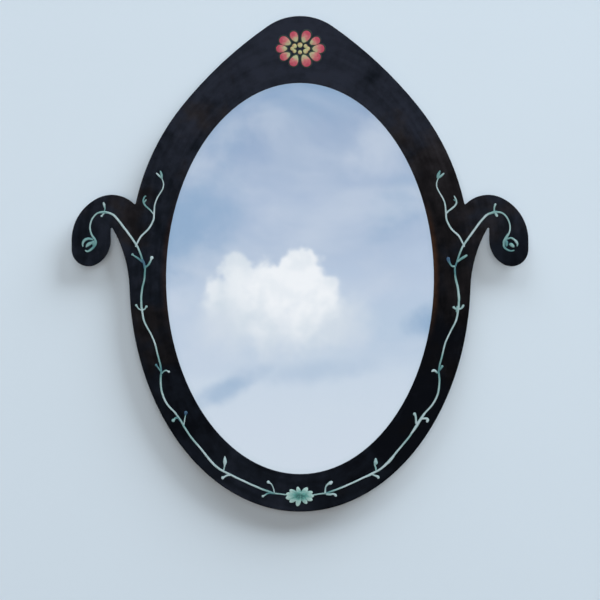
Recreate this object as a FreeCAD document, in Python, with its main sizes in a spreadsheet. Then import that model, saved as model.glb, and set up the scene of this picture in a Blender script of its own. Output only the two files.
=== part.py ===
# Oval wall mirror in a flat frame of cut sheet steel with two scrolled side arms.
#
# Millimetres and degrees. +Z is up, the front faces -Y and the wall is the plane Y = 0.
# The origin is on the wall, midway between the two wall hooks, at the height where the
# hooks bear in the hanger rings.
import FreeCAD, Part
import os
from math import acos, atan2, cos, hypot, pi, radians, sin

import Sketcher

# The driving dimensions: alias, value, what it measures.
SIZES = [
    ("sight_half_width", 165, "half width of the oval opening"),
    ("sight_half_height", 241, "half height of the oval opening"),
    ("side_band", 45, "width of steel beside the opening"),
    ("foot_band", 46, "width of steel below the opening"),
    ("crown_band", 82, "height of steel above the opening, to the apex"),
    ("plate_thick", 2, "sheet steel of the frame"),
    ("edge_round", 0.4, "filed round on the front edges of the frame"),
    ("apex_radius", 70, "round of the pointed crown's tip"),
    ("apex_half_width", 40, "from the middle to where the tip meets the shoulder"),
    ("shoulder_radius", 506, "long flat curve of the crown's shoulder"),
    ("side_radius", 288, "curve from the shoulder down to the arm"),
    ("crown_tuck", 3.2, "crown's side inside the oval's side at mid height"),
    ("crest_out", 21.5, "top of the arm, outward from the oval's side"),
    ("crest_height", 103, "top of the arm above the oval's middle"),
    ("crest_radius", 39, "curve over the top of the arm"),
    ("crest_turn", 25.4, "turn of that curve outward from the top"),
    ("elbow_radius", 57.5, "curve from there down to the outer side"),
    ("elbow_drop", 11.6, "straight stretch of the outer side"),
    ("tip_radius", 20.8, "round of the hanging tip"),
    ("tip_turn", 120, "turn of that round"),
    ("throat_radius", 33.9, "curve up the inner side of the tip"),
    ("underside_radius", 156.7, "hollow curve from the oval's side up into the arm"),
    ("underside_drop", 11.8, "start of that curve below the oval's middle"),
    ("arm_root", 16, "how far the arm's outline runs inside the oval's side"),
    ("notch_round", 1.2, "round left by the cutter in the notches beside the arms"),
    ("glass_lap", 8, "steel lapping over the edge of the glass"),
    ("glass_gap", 2, "room round the glass for the setting blocks"),
    ("hoop_thick", 3, "flat bar of the back hoop"),
    ("hoop_depth", 12, "depth of the back hoop"),
    ("felt_thick", 1, "felt strip between steel and glass"),
    ("felt_inset", 1.5, "felt back from the opening and from the glass edge"),
    ("glass_thick", 3, "mirror glass"),
    ("board_thick", 3, "backing board"),
    ("block_length", 20, "rubber setting block along the edge"),
    ("block_angle", 63, "setting blocks round the oval from its side"),
    ("block_ease", 0.1, "setting block clear of glass and hoop"),
    ("lug_thick", 3, "steel lugs behind the frame"),
    ("weld_root", 0.1, "root gap of a lug's weld to the hoop"),
    ("lug_heel", 2, "lug's blank past the hoop's face before it is trimmed"),
    ("button_lug_width", 14, "lug that carries a turn button"),
    ("button_out", 8, "turn button's screw from the hoop"),
    ("button_width", 12, "turn button"),
    ("button_reach", 19, "screw to the centre of the button's far round"),
    ("button_thick", 1.5, "turn button"),
    ("upper_button_angle", 57, "upper buttons round the oval from its side"),
    ("lower_button_angle", 45, "lower buttons round the oval from its side"),
    ("washer_width", 9, "washer under a button's screw"),
    ("washer_thick", 0.8, "washer under a button's screw"),
    ("screw_width", 4, "shank of the screws"),
    ("screw_head_width", 8, "pan head"),
    ("screw_head_height", 2.4, "pan head"),
    ("screw_head_round", 0.9, "round of the pan head's top"),
    ("screw_slot_width", 1.2, "driver slot"),
    ("screw_slot_depth", 1.1, "driver slot"),
    ("screw_tail", 1, "screw past the front of its lug"),
    ("thread_ease", 0.05, "radial clearance of a screw or rivet in a fixed hole"),
    ("washer_ease", 0.2, "radial clearance of a washer"),
    ("pivot_ease", 0.08, "radial clearance of a turn button on its screw"),
    ("bumper_lug_width", 18, "lug that carries a wall bumper"),
    ("bumper_out", 11, "bumper's middle from the hoop"),
    ("bumper_angle", 67.5, "bumpers round the oval from its side"),
    ("bumper_width", 16, "rubber wall bumper at its foot"),
    ("bumper_nose", 14, "rubber wall bumper where it meets the wall"),
    ("bumper_height", 8, "wall to the back of the lugs"),
    ("bumper_web", 3, "rubber under the screw head"),
    ("bumper_well_ease", 0.4, "radial room round the sunk screw head"),
    ("hanger_angle", 36, "hanger lugs round the oval from its side"),
    ("hanger_out", 12, "ring bar's middle outward from the hoop there"),
    ("hanger_rise", 10.5, "ring bar above that point of the hoop"),
    ("hanger_lug_inner", 16, "hanger lug's blank inward from the strap's middle"),
    ("hanger_lug_margin", 2, "hanger lug beyond the strap"),
    ("hanger_lug_clear", 4, "top of the hanger lug below the ring bar"),
    ("strap_width", 14, "folded hanger strap"),
    ("strap_sheet", 1, "sheet of the hanger strap"),
    ("strap_length", 26, "strap below the ring bar"),
    ("strap_corner", 2.5, "rounded lower corners of the strap"),
    ("rivet_width", 4, "rivet shank"),
    ("rivet_head_width", 7.5, "rivet head on the strap"),
    ("rivet_head_height", 1.6, "rivet head on the strap"),
    ("rivet_head_round", 1.2, "round of the rivet head"),
    ("rivet_tail_width", 6, "set end of the rivet in front of the lug"),
    ("rivet_tail_height", 1.2, "set end of the rivet in front of the lug"),
    ("rivet_first", 9, "upper rivet below the ring bar"),
    ("rivet_pitch", 10, "upper rivet to lower rivet"),
    ("ring_wire", 3, "wire of the hanger ring"),
    ("ring_width", 24, "ring, middle to middle of its sides"),
    ("ring_corner", 4, "bend between the ring's bar and its sides"),
    ("ring_rise", 20, "ring, middle of its bar to middle of its crown"),
    ("ring_ease", 0.08, "radial clearance of the ring bar in its strap"),
]

# Sizes worked out from the driving ones, as expressions.
OVAL_WIDE = "(sizes.sight_half_width + sizes.side_band)"
OVAL_TALL = "(sizes.sight_half_height + sizes.foot_band)"
GLASS_WIDE = "(sizes.sight_half_width + sizes.glass_lap)"
GLASS_TALL = "(sizes.sight_half_height + sizes.glass_lap)"
WELL_WIDE = f"({GLASS_WIDE} + sizes.glass_gap)"
WELL_TALL = f"({GLASS_TALL} + sizes.glass_gap)"
HOOP_WIDE = f"({WELL_WIDE} + sizes.hoop_thick)"
HOOP_TALL = f"({WELL_TALL} + sizes.hoop_thick)"
PLATE_BACK = "(sizes.bumper_height + sizes.hoop_depth)"
BARREL = "(sizes.ring_wire / 2 + sizes.ring_ease + sizes.strap_sheet)"
STRAP_THICK = "(2 * sizes.strap_sheet)"
BAR_X = f"({HOOP_WIDE} * cos(sizes.hanger_angle) + sizes.hanger_out)"
BAR_ABOVE_MIDDLE = f"({HOOP_TALL} * sin(sizes.hanger_angle) + sizes.hanger_rise)"
BAR_Z = "(sizes.ring_wire / 2 - sizes.ring_rise)"
MIDDLE_Z = f"({BAR_Z} - {BAR_ABOVE_MIDDLE})"

# Where the turn buttons and the bumpers stand round the oval, from +X towards +Z.
BUTTON_ANGLES = {
    "top": "90",
    "upper_right": "sizes.upper_button_angle",
    "right": "0",
    "lower_right": "-sizes.lower_button_angle",
    "bottom": "-90",
    "lower_left": "sizes.lower_button_angle - 180",
    "left": "180",
    "upper_left": "180 - sizes.upper_button_angle",
}
BUMPER_ANGLES = {"right": "-sizes.bumper_angle", "left": "sizes.bumper_angle - 180"}
SIDES = {"right": "1", "left": "-1"}

# A sketch's own numbers for the points of a curve, for its two axes and for its origin.
START, END, CENTRE = range(1, 4)
H_AXIS, V_AXIS = range(-1, -3, -1)
ORIGIN = (H_AXIS, START)
V = FreeCAD.Vector

doc = FreeCAD.newDocument("oval_wall_mirror")
sheet = doc.addObject("Spreadsheet::Sheet", "sizes")
for row, (alias, size, meaning) in enumerate(SIZES, start=1):
    sheet.set(f"A{row}", alias)
    sheet.set(f"B{row}", str(size))
    sheet.set(f"C{row}", meaning)
    sheet.setAlias(f"B{row}", alias)
doc.recompute()

subparts = []


def value(expression):
    """The number that an expression on the sheet has now."""
    result = sheet.evalExpression(expression)
    return float(getattr(result, "Value", result))


def subpart(obj, name):
    """Names a finished piece and lists it for export."""
    obj.Label = name
    subparts.append(obj)
    return obj


def place(obj, x="0", y="0", z="0", heading=None):
    """Binds a piece's place, and its turn in the plane of the wall from +X towards +Z."""
    if heading:
        obj.Placement = FreeCAD.Placement(V(), FreeCAD.Rotation(V(0, -1, 0), value(heading)))
        obj.setExpression("Placement.Rotation.Angle", heading)
    for axis, expression in (("x", x), ("y", y), ("z", z)):
        obj.setExpression(f"Placement.Base.{axis}", expression)
    return obj


def station(angle, out):
    """A place outside the hoop: its x, z and the heading straight away from the hoop."""
    heading = f"atan2({HOOP_WIDE} * sin({angle}); {HOOP_TALL} * cos({angle}))"
    x = f"{HOOP_WIDE} * cos({angle}) + {out} * cos({heading})"
    z = f"{HOOP_TALL} * sin({angle}) + {out} * sin({heading}) + {MIDDLE_Z}"
    return x, z, heading


def new_body(name):
    return doc.addObject("PartDesign::Body", name)


def new_sketch(body, name, role="XZ_Plane"):
    sketch = body.newObject("Sketcher::SketchObject", f"{body.Name}_{name}")
    plane = next(feature for feature in body.Origin.OriginFeatures if feature.Role == role)
    sketch.AttachmentSupport = [(plane, "")]
    sketch.MapMode = "FlatFace"
    return sketch


def bind(sketch, kind, refs, expression):
    """A dimension of a sketch that follows the sheet."""
    now = value(expression)
    if kind == "Angle":
        now = radians(now)
    index = sketch.addConstraint(Sketcher.Constraint(kind, *refs, now))
    sketch.setExpression(f"Constraints[{index}]", expression)


def tie(sketch, kind, *refs):
    sketch.addConstraint(Sketcher.Constraint(kind, *refs))


def point_at(sketch, geometry, point, x, z):
    """Holds a point at x, z from the sketch's origin."""
    if x == z == "0":
        tie(sketch, "Coincident", geometry, point, *ORIGIN)
        return
    for kind, axis, expression in (("DistanceX", V_AXIS, x), ("DistanceY", H_AXIS, z)):
        if expression == "0":
            tie(sketch, "PointOnObject", geometry, point, axis)
        else:
            bind(sketch, kind, [*ORIGIN, geometry, point], expression)


def line(sketch, first, last):
    return sketch.addGeometry(Part.LineSegment(V(*first, 0), V(*last, 0)), False)


def arc(sketch, centre, radius, first, last):
    """An arc anticlockwise from one angle to the next, in radians."""
    round_line = Part.Circle(V(*centre, 0), V(0, 0, 1), radius)
    return sketch.addGeometry(Part.ArcOfCircle(round_line, first, last), False)


def circle(sketch, radius, x="0", z="0"):
    centre = V(value(x), value(z), 0)
    geometry = sketch.addGeometry(Part.Circle(centre, V(0, 0, 1), value(radius)), False)
    point_at(sketch, geometry, CENTRE, x, z)
    bind(sketch, "Radius", [geometry], radius)


def oval(sketch, half_width, half_height):
    """An upright ellipse round the sketch's origin."""
    tall, wide = value(half_height), value(half_width)
    ellipse = sketch.addGeometry(Part.Ellipse(V(0, tall, 0), V(wide, 0, 0), V(0, 0, 0)), False)
    sketch.exposeInternalGeometry(ellipse)
    long_axis, short_axis = ellipse + 1, ellipse + 2
    tie(sketch, "Coincident", ellipse, CENTRE, *ORIGIN)
    tie(sketch, "PointOnObject", long_axis, END, V_AXIS)
    bind(sketch, "Distance", [long_axis], f"2 * {half_height}")
    bind(sketch, "Distance", [short_axis], f"2 * {half_width}")


def rectangle(sketch, left, right, bottom, top):
    low = (value(left), value(bottom))
    high = (value(right), value(top))
    corners = [low, (high[0], low[1]), high, (low[0], high[1])]
    sides = [line(sketch, corners[i], corners[(i + 1) % 4]) for i in range(4)]
    for i, side in enumerate(sides):
        tie(sketch, "Coincident", side, END, sides[(i + 1) % 4], START)
        tie(sketch, "Horizontal" if i % 2 == 0 else "Vertical", side)
    point_at(sketch, sides[0], START, left, bottom)
    point_at(sketch, sides[2], START, right, top)


def tongue(sketch, half_width, back, front="0"):
    """A strip with a round end at x = front and a square end at x = -back."""
    wide, nose, heel = value(half_width), value(front), -value(back)
    top = line(sketch, (nose, wide), (heel, wide))
    square_end = line(sketch, (heel, wide), (heel, -wide))
    bottom = line(sketch, (heel, -wide), (nose, -wide))
    round_end = arc(sketch, (nose, 0), wide, -pi / 2, pi / 2)
    tie(sketch, "Coincident", top, END, square_end, START)
    tie(sketch, "Coincident", square_end, END, bottom, START)
    tie(sketch, "Vertical", square_end)
    tie(sketch, "Horizontal", top)
    tie(sketch, "Tangent", bottom, END, round_end, START)
    tie(sketch, "Tangent", round_end, END, top, START)
    point_at(sketch, round_end, CENTRE, front, "0")
    bind(sketch, "Radius", [round_end], half_width)
    bind(sketch, "DistanceX", [square_end, START, *ORIGIN], back)


def slot(sketch, radius, reach):
    """A strip with two round ends, centred at x = 0 and x = -reach."""
    wide, far = value(radius), -value(reach)
    near_end = arc(sketch, (0, 0), wide, -pi / 2, pi / 2)
    top = line(sketch, (0, wide), (far, wide))
    far_end = arc(sketch, (far, 0), wide, pi / 2, 3 * pi / 2)
    bottom = line(sketch, (far, -wide), (0, -wide))
    loop = [near_end, top, far_end, bottom]
    for i, part in enumerate(loop):
        tie(sketch, "Tangent", part, END, loop[(i + 1) % 4], START)
    tie(sketch, "Coincident", near_end, CENTRE, *ORIGIN)
    tie(sketch, "PointOnObject", far_end, CENTRE, H_AXIS)
    bind(sketch, "DistanceX", [far_end, CENTRE, *ORIGIN], reach)
    bind(sketch, "Radius", [near_end], radius)


def pad(sketch, length, backward=False, both_ways=False):
    """Thickens a sketch forward, to -Y from an XZ sketch, or backward, or half each way."""
    body = sketch.getParentGeoFeatureGroup()
    feature = body.newObject("PartDesign::Pad", f"{sketch.Name}_pad")
    feature.Profile = sketch
    feature.setExpression("Length", length)
    feature.Reversed = backward
    if both_ways:
        feature.SideType = "Symmetric"
    doc.recompute()
    return feature


def cut_through(sketch):
    body = sketch.getParentGeoFeatureGroup()
    feature = body.newObject("PartDesign::Pocket", f"{sketch.Name}_cut")
    feature.Profile = sketch
    feature.Type = "ThroughAll"
    feature.SideType = "Symmetric"
    doc.recompute()
    return feature


def round_edges(body, radius, chosen):
    """Rounds the edges of the body's last feature that pass the test."""
    base = body.Tip
    names = [f"Edge{number}" for number, edge in enumerate(base.Shape.Edges, start=1) if chosen(edge)]
    fillet = body.newObject("PartDesign::Fillet", f"{base.Name}_round")
    fillet.Base = (base, names)
    fillet.setExpression("Radius", radius)
    doc.recompute()
    return fillet


def lies_at(y):
    """A test for the edges that lie in the plane of that y."""
    return lambda edge: all(near(point.y, y) for point in edge.discretize(5))


def is_notch(shape):
    """A test for the edges through the sheet where the outline turns a sharp corner."""
    def test(edge):
        first, last = edge.discretize(2)
        if not near(abs(first.y - last.y), "sizes.plate_thick"):
            return False
        faces = shape.ancestorsOfType(edge, Part.Face)
        normals = [face.normalAt(*face.Surface.parameter(first)) for face in faces]
        return normals[0].getAngle(normals[1]) > pi / 4
    return test


def near(number, expression):
    return abs(number - value(expression)) < 1e-4


def copies(name, pattern, places):
    """The same piece at several places, as one group of separate solids."""
    group = doc.addObject("Part::Compound", name)
    links = []
    for key, (x, y, z, heading) in places.items():
        copy = doc.addObject("Part::Compound", f"{name}_{key}")
        copy.Links = [pattern]
        links.append(place(copy, x, y, z, heading))
    group.Links = links
    return group


def crown_outline(body):
    """Right half of the pointed crown: tip, shoulder and side arcs, each tangent to the next."""
    top = "sizes.sight_half_height + sizes.crown_band"
    side_foot = f"{OVAL_WIDE} - sizes.crown_tuck"
    apex = (0, value(top) - value("sizes.apex_radius"))
    tip_r, shoulder_r = value("sizes.apex_radius"), value("sizes.shoulder_radius")
    side_r = value("sizes.side_radius")
    lean = acos(value("sizes.apex_half_width") / tip_r)
    shoulder = (apex[0] + (tip_r - shoulder_r) * cos(lean), apex[1] + (tip_r - shoulder_r) * sin(lean))
    foot = (value(side_foot), 0)
    # The side arc's centre is side_r from its foot and shoulder_r - side_r from the shoulder's centre.
    span = hypot(foot[0] - shoulder[0], foot[1] - shoulder[1])
    gap_r = shoulder_r - side_r
    turn = acos((gap_r ** 2 + span ** 2 - side_r ** 2) / (2 * gap_r * span))
    joint = atan2(foot[1] - shoulder[1], foot[0] - shoulder[0]) + turn
    side = (shoulder[0] + gap_r * cos(joint), shoulder[1] + gap_r * sin(joint))

    sketch = new_sketch(body, "crown")
    tip_arc = arc(sketch, apex, tip_r, lean, pi / 2)
    shoulder_arc = arc(sketch, shoulder, shoulder_r, joint, lean)
    side_arc = arc(sketch, side, side_r, atan2(-side[1], foot[0] - side[0]), joint)
    across = line(sketch, foot, (0, 0))
    upright = line(sketch, (0, 0), (0, value(top)))
    tie(sketch, "Coincident", across, END, *ORIGIN)
    tie(sketch, "Coincident", upright, START, *ORIGIN)
    tie(sketch, "Coincident", side_arc, START, across, START)
    tie(sketch, "Tangent", side_arc, END, shoulder_arc, START)
    tie(sketch, "Tangent", shoulder_arc, END, tip_arc, START)
    tie(sketch, "Coincident", tip_arc, END, upright, END)
    tie(sketch, "PointOnObject", tip_arc, CENTRE, V_AXIS)
    point_at(sketch, across, START, side_foot, "0")
    point_at(sketch, upright, END, "0", top)
    bind(sketch, "DistanceX", [*ORIGIN, tip_arc, START], "sizes.apex_half_width")
    bind(sketch, "Radius", [tip_arc], "sizes.apex_radius")
    bind(sketch, "Radius", [shoulder_arc], "sizes.shoulder_radius")
    bind(sketch, "Radius", [side_arc], "sizes.side_radius")
    return sketch


def arm_outline(body):
    """Right arm: over the crest, down the outer side, round the tip and back up to the underside."""
    crest_r, elbow_r = value("sizes.crest_radius"), value("sizes.elbow_radius")
    tip_r, throat_r = value("sizes.tip_radius"), value("sizes.throat_radius")
    hollow_r = value("sizes.underside_radius")
    crest_x = f"{OVAL_WIDE} + sizes.crest_out"
    crest_z = "sizes.crest_height - sizes.crest_radius"
    root_angle = f"asin(-sizes.underside_drop / {OVAL_TALL})"
    root_x = f"{OVAL_WIDE} * cos({root_angle})"
    root_heading = f"atan2({OVAL_WIDE} * sin({root_angle}); {OVAL_TALL} * cos({root_angle}))"
    hollow_x = f"{root_x} + sizes.underside_radius * cos({root_heading})"
    hollow_z = f"sizes.underside_radius * sin({root_heading}) - sizes.underside_drop"
    lean = pi / 2 - radians(value("sizes.crest_turn"))
    curl = -radians(value("sizes.tip_turn"))
    crest = (value(crest_x), value(crest_z))
    elbow = (crest[0] + (crest_r - elbow_r) * cos(lean), crest[1] + (crest_r - elbow_r) * sin(lean))
    reach = elbow[0] + elbow_r
    tip = (reach - tip_r, elbow[1] - value("sizes.elbow_drop"))
    throat = (tip[0] + (tip_r - throat_r) * cos(curl), tip[1] + (tip_r - throat_r) * sin(curl))
    inner = throat[0] - throat_r
    hollow = (value(hollow_x), value(hollow_z))
    root = (value(root_x), -value("sizes.underside_drop"))
    meeting = acos((inner - hollow[0]) / hollow_r)
    heel = value(OVAL_WIDE) - value("sizes.arm_root")

    sketch = new_sketch(body, "arm")
    crest_arc = arc(sketch, crest, crest_r, lean, pi)
    elbow_arc = arc(sketch, elbow, elbow_r, 0, lean)
    outer_line = line(sketch, (reach, elbow[1]), (reach, tip[1]))
    tip_arc = arc(sketch, tip, tip_r, curl, 0)
    throat_arc = arc(sketch, throat, throat_r, -pi, curl)
    inner_line = line(sketch, (inner, throat[1]), (inner, hollow[1] + hollow_r * sin(meeting)))
    hollow_arc = arc(sketch, hollow, hollow_r, meeting, pi + radians(value(root_heading)))
    heel_foot = line(sketch, root, (heel, root[1]))
    heel_side = line(sketch, (heel, root[1]), (heel, crest[1]))
    heel_top = line(sketch, (heel, crest[1]), (crest[0] - crest_r, crest[1]))
    tie(sketch, "Tangent", crest_arc, START, elbow_arc, END)
    tie(sketch, "Tangent", elbow_arc, START, outer_line, START)
    tie(sketch, "Tangent", outer_line, END, tip_arc, END)
    tie(sketch, "Tangent", tip_arc, START, throat_arc, END)
    tie(sketch, "Tangent", throat_arc, START, inner_line, START)
    tie(sketch, "Coincident", inner_line, END, hollow_arc, START)
    tie(sketch, "Coincident", hollow_arc, END, heel_foot, START)
    tie(sketch, "Coincident", heel_foot, END, heel_side, START)
    tie(sketch, "Coincident", heel_side, END, heel_top, START)
    tie(sketch, "Coincident", heel_top, END, crest_arc, END)
    for upright in (outer_line, inner_line, heel_side):
        tie(sketch, "Vertical", upright)
    for level in (heel_foot, heel_top):
        tie(sketch, "Horizontal", level)
    tie(sketch, "Horizontal", crest_arc, END, crest_arc, CENTRE)
    point_at(sketch, crest_arc, CENTRE, crest_x, crest_z)
    point_at(sketch, hollow_arc, CENTRE, hollow_x, hollow_z)
    bind(sketch, "DistanceY", [*ORIGIN, hollow_arc, END], "-sizes.underside_drop")
    bind(sketch, "DistanceX", [*ORIGIN, heel_side, START], f"{OVAL_WIDE} - sizes.arm_root")
    bind(sketch, "Angle", [crest_arc], "90 + sizes.crest_turn")
    bind(sketch, "Angle", [tip_arc], "sizes.tip_turn")
    bind(sketch, "Distance", [outer_line], "sizes.elbow_drop")
    bind(sketch, "Radius", [crest_arc], "sizes.crest_radius")
    bind(sketch, "Radius", [elbow_arc], "sizes.elbow_radius")
    bind(sketch, "Radius", [tip_arc], "sizes.tip_radius")
    bind(sketch, "Radius", [throat_arc], "sizes.throat_radius")
    bind(sketch, "Radius", [hollow_arc], "sizes.underside_radius")
    return sketch


def make_frame_plate():
    """One cut sheet: lower oval, pointed crown and both arms, with the sight opening."""
    body = new_body("frame_plate")
    lower_oval = new_sketch(body, "oval")
    oval(lower_oval, OVAL_WIDE, OVAL_TALL)
    pad(lower_oval, "sizes.plate_thick")
    halves = [pad(outline(body), "sizes.plate_thick") for outline in (crown_outline, arm_outline)]
    mirrored = body.newObject("PartDesign::Mirrored", "frame_plate_halves")
    mirrored.Originals = halves
    middle = next(f for f in body.Origin.OriginFeatures if f.Role == "YZ_Plane")
    mirrored.MirrorPlane = (middle, [""])
    body.Tip = mirrored
    doc.recompute()
    round_edges(body, "sizes.notch_round", is_notch(mirrored.Shape))
    sight = new_sketch(body, "sight")
    oval(sight, "sizes.sight_half_width", "sizes.sight_half_height")
    cut_through(sight)
    round_edges(body, "sizes.edge_round", lies_at("-sizes.plate_thick"))
    place(body, y=f"-{PLATE_BACK}", z=MIDDLE_Z)
    subpart(body, "frame_plate")


def make_layer(name, back, thick, outer, inner=None):
    """A flat oval sheet or ring whose back face is the given distance in front of the wall."""
    body = new_body(name)
    sketch = new_sketch(body, "outline")
    oval(sketch, *outer)
    if inner:
        oval(sketch, *inner)
    pad(sketch, thick)
    return place(body, y=f"-{back}", z=MIDDLE_Z)


def make_glazing():
    """The hoop behind the opening and what lies in it, from the felt back to the board."""
    felt_back = f"({PLATE_BACK} - sizes.felt_thick)"
    glass_back = f"({felt_back} - sizes.glass_thick)"
    board_front = "(sizes.bumper_height + sizes.board_thick)"
    glass = (GLASS_WIDE, GLASS_TALL)
    felt_outer = [f"({half} - sizes.felt_inset)" for half in glass]
    sight = ("sizes.sight_half_width", "sizes.sight_half_height")
    felt_inner = [f"({half} + sizes.felt_inset)" for half in sight]
    hoop = make_layer("back_hoop", "sizes.bumper_height", "sizes.hoop_depth",
                      (HOOP_WIDE, HOOP_TALL), (WELL_WIDE, WELL_TALL))
    subpart(hoop, "back_hoop")
    felt = make_layer("felt_strip", felt_back, "sizes.felt_thick", felt_outer, felt_inner)
    subpart(felt, "felt_strip")
    subpart(make_layer("mirror_glass", glass_back, "sizes.glass_thick", glass), "mirror_glass")
    packing = make_layer("packing_sheet", board_front, f"{glass_back} - {board_front}", glass)
    subpart(packing, "packing_sheet")
    board = make_layer("backing_board", "sizes.bumper_height", "sizes.board_thick", glass)
    subpart(board, "backing_board")


def make_setting_blocks():
    """Rubber blocks in the gap round the glass, two under it and two over it."""
    outer = [f"({half} - sizes.block_ease)" for half in (WELL_WIDE, WELL_TALL)]
    inner = [f"({half} + sizes.block_ease)" for half in (GLASS_WIDE, GLASS_TALL)]
    depth = "sizes.hoop_depth - sizes.felt_thick"
    gap_ring = make_layer("glass_gap_ring", "sizes.bumper_height", depth, outer, inner)
    slabs = []
    for side, sign in SIDES.items():
        slab = doc.addObject("Part::Box", f"block_slab_{side}")
        slab.setExpression("Length", "sizes.block_length")
        slab.setExpression("Width", PLATE_BACK)
        slab.setExpression("Height", f"2 * {HOOP_TALL}")
        middle = f"{sign} * {WELL_WIDE} * cos(sizes.block_angle)"
        place(slab, f"{middle} - sizes.block_length / 2", f"-{PLATE_BACK}", f"{MIDDLE_Z} - {HOOP_TALL}")
        slabs.append(slab)
    both = doc.addObject("Part::MultiFuse", "block_slabs")
    both.Shapes = slabs
    blocks = doc.addObject("Part::Common", "setting_blocks")
    blocks.Base, blocks.Tool = gap_ring, both
    subpart(blocks, "setting_blocks")


def make_lugs(name, width, out, angles):
    """Round-ended lugs, trimmed to the hoop that they are welded to, each with a tapped hole."""
    blank = new_body(f"{name}_blank")
    outline = new_sketch(blank, "outline")
    tongue(outline, f"{width} / 2", f"({out} + sizes.lug_heel)")
    circle(outline, "sizes.screw_width / 2 + sizes.thread_ease")
    pad(outline, "sizes.lug_thick")
    places = {}
    for key, angle in angles.items():
        x, z, heading = station(angle, out)
        places[key] = (x, "-sizes.bumper_height", z, heading)
    trim_to_hoop(name, copies(f"{name}_blanks", blank, places))


def trim_to_hoop(name, blanks):
    """Cuts lugs back to the hoop's outer face, less the root gap of the weld."""
    outer = [f"({half} + sizes.weld_root)" for half in (HOOP_WIDE, HOOP_TALL)]
    core = make_layer(f"{name}_trim", "sizes.bumper_height", "sizes.hoop_depth", outer)
    lugs = doc.addObject("Part::Cut", name)
    lugs.Base, lugs.Tool = blanks, core
    subpart(lugs, name)


def make_screw(name, grip):
    """Slotted pan-head screw, its seat at Y = 0 and its shank forward through the grip."""
    body = new_body(name)
    head = new_sketch(body, "head")
    circle(head, "sizes.screw_head_width / 2")
    pad(head, "sizes.screw_head_height", backward=True)
    round_edges(body, "sizes.screw_head_round", lies_at("sizes.screw_head_height"))
    shank = new_sketch(body, "shank")
    circle(shank, "sizes.screw_width / 2")
    pad(shank, f"{grip} + sizes.screw_tail")
    driver = new_sketch(body, "driver_slot")
    driver.setExpression("AttachmentOffset.Base.z", "-sizes.screw_head_height")
    half_long, half_wide = "sizes.screw_head_width", "sizes.screw_slot_width / 2"
    rectangle(driver, f"-{half_long}", half_long, f"-{half_wide}", half_wide)
    cut = body.newObject("PartDesign::Pocket", f"{name}_slot")
    cut.Profile = driver
    cut.setExpression("Length", "sizes.screw_slot_depth")
    cut.Reversed = True
    doc.recompute()
    return body


def make_turn_buttons():
    """Lugs round the hoop, each with a turn button that swings over the board."""
    make_lugs("button_lugs", "sizes.button_lug_width", "sizes.button_out", BUTTON_ANGLES)
    seat = "-sizes.bumper_height"
    on_button = f"{seat} + sizes.button_thick"
    on_washer = f"{on_button} + sizes.washer_thick"
    washer = new_body("washer_pattern")
    ring = new_sketch(washer, "outline")
    circle(ring, "sizes.washer_width / 2")
    circle(ring, "sizes.screw_width / 2 + sizes.washer_ease")
    pad(ring, "sizes.washer_thick", backward=True)
    grip = "sizes.washer_thick + sizes.button_thick + sizes.lug_thick"
    screw = make_screw("button_screw_pattern", grip)
    washers, screws = {}, {}
    for key, angle in BUTTON_ANGLES.items():
        x, z, heading = station(angle, "sizes.button_out")
        washers[key] = (x, on_button, z, heading)
        screws[key] = (x, on_washer, z, heading)
        button = new_body(f"turn_button_{key}")
        outline = new_sketch(button, "outline")
        slot(outline, "sizes.button_width / 2", "sizes.button_reach")
        circle(outline, "sizes.screw_width / 2 + sizes.pivot_ease")
        pad(outline, "sizes.button_thick", backward=True)
        place(button, x, seat, z, heading)
        subpart(button, f"turn_button_{key}")
    subpart(copies("button_washers", washer, washers), "button_washers")
    subpart(copies("button_screws", screw, screws), "button_screws")


def make_wall_bumpers():
    """Two rubber bumpers at the foot, each held to its lug by a sunk screw."""
    make_lugs("bumper_lugs", "sizes.bumper_lug_width", "sizes.bumper_out", BUMPER_ANGLES)
    body = new_body("bumper_pattern")
    section = new_sketch(body, "section", "YZ_Plane")
    shank_hole = "sizes.screw_width / 2 + sizes.thread_ease"
    well = "sizes.screw_head_width / 2 + sizes.bumper_well_ease"
    profile = [("0", shank_hole), ("0", "sizes.bumper_width / 2"),
               ("sizes.bumper_height", "sizes.bumper_nose / 2"), ("sizes.bumper_height", well),
               ("sizes.bumper_web", well), ("sizes.bumper_web", shank_hole)]
    corners = [(value(y), value(radius)) for y, radius in profile]
    sides = [line(section, corner, corners[(i + 1) % len(corners)]) for i, corner in enumerate(corners)]
    for i, (y, radius) in enumerate(profile):
        tie(section, "Coincident", sides[i - 1], END, sides[i], START)
        point_at(section, sides[i], START, y, radius)
    turned = body.newObject("PartDesign::Revolution", "bumper_pattern_turned")
    turned.Profile = section
    turned.ReferenceAxis = (section, ["H_Axis"])
    turned.Angle = 360
    doc.recompute()
    screw = make_screw("bumper_screw_pattern", "sizes.bumper_web + sizes.lug_thick")
    bumpers, screws = {}, {}
    for key, angle in BUMPER_ANGLES.items():
        x, z, heading = station(angle, "sizes.bumper_out")
        bumpers[key] = (x, "-sizes.bumper_height", z, heading)
        screws[key] = (x, "sizes.bumper_web - sizes.bumper_height", z, heading)
    subpart(copies("wall_bumpers", body, bumpers), "wall_bumpers")
    subpart(copies("bumper_screws", screw, screws), "bumper_screws")


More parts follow.
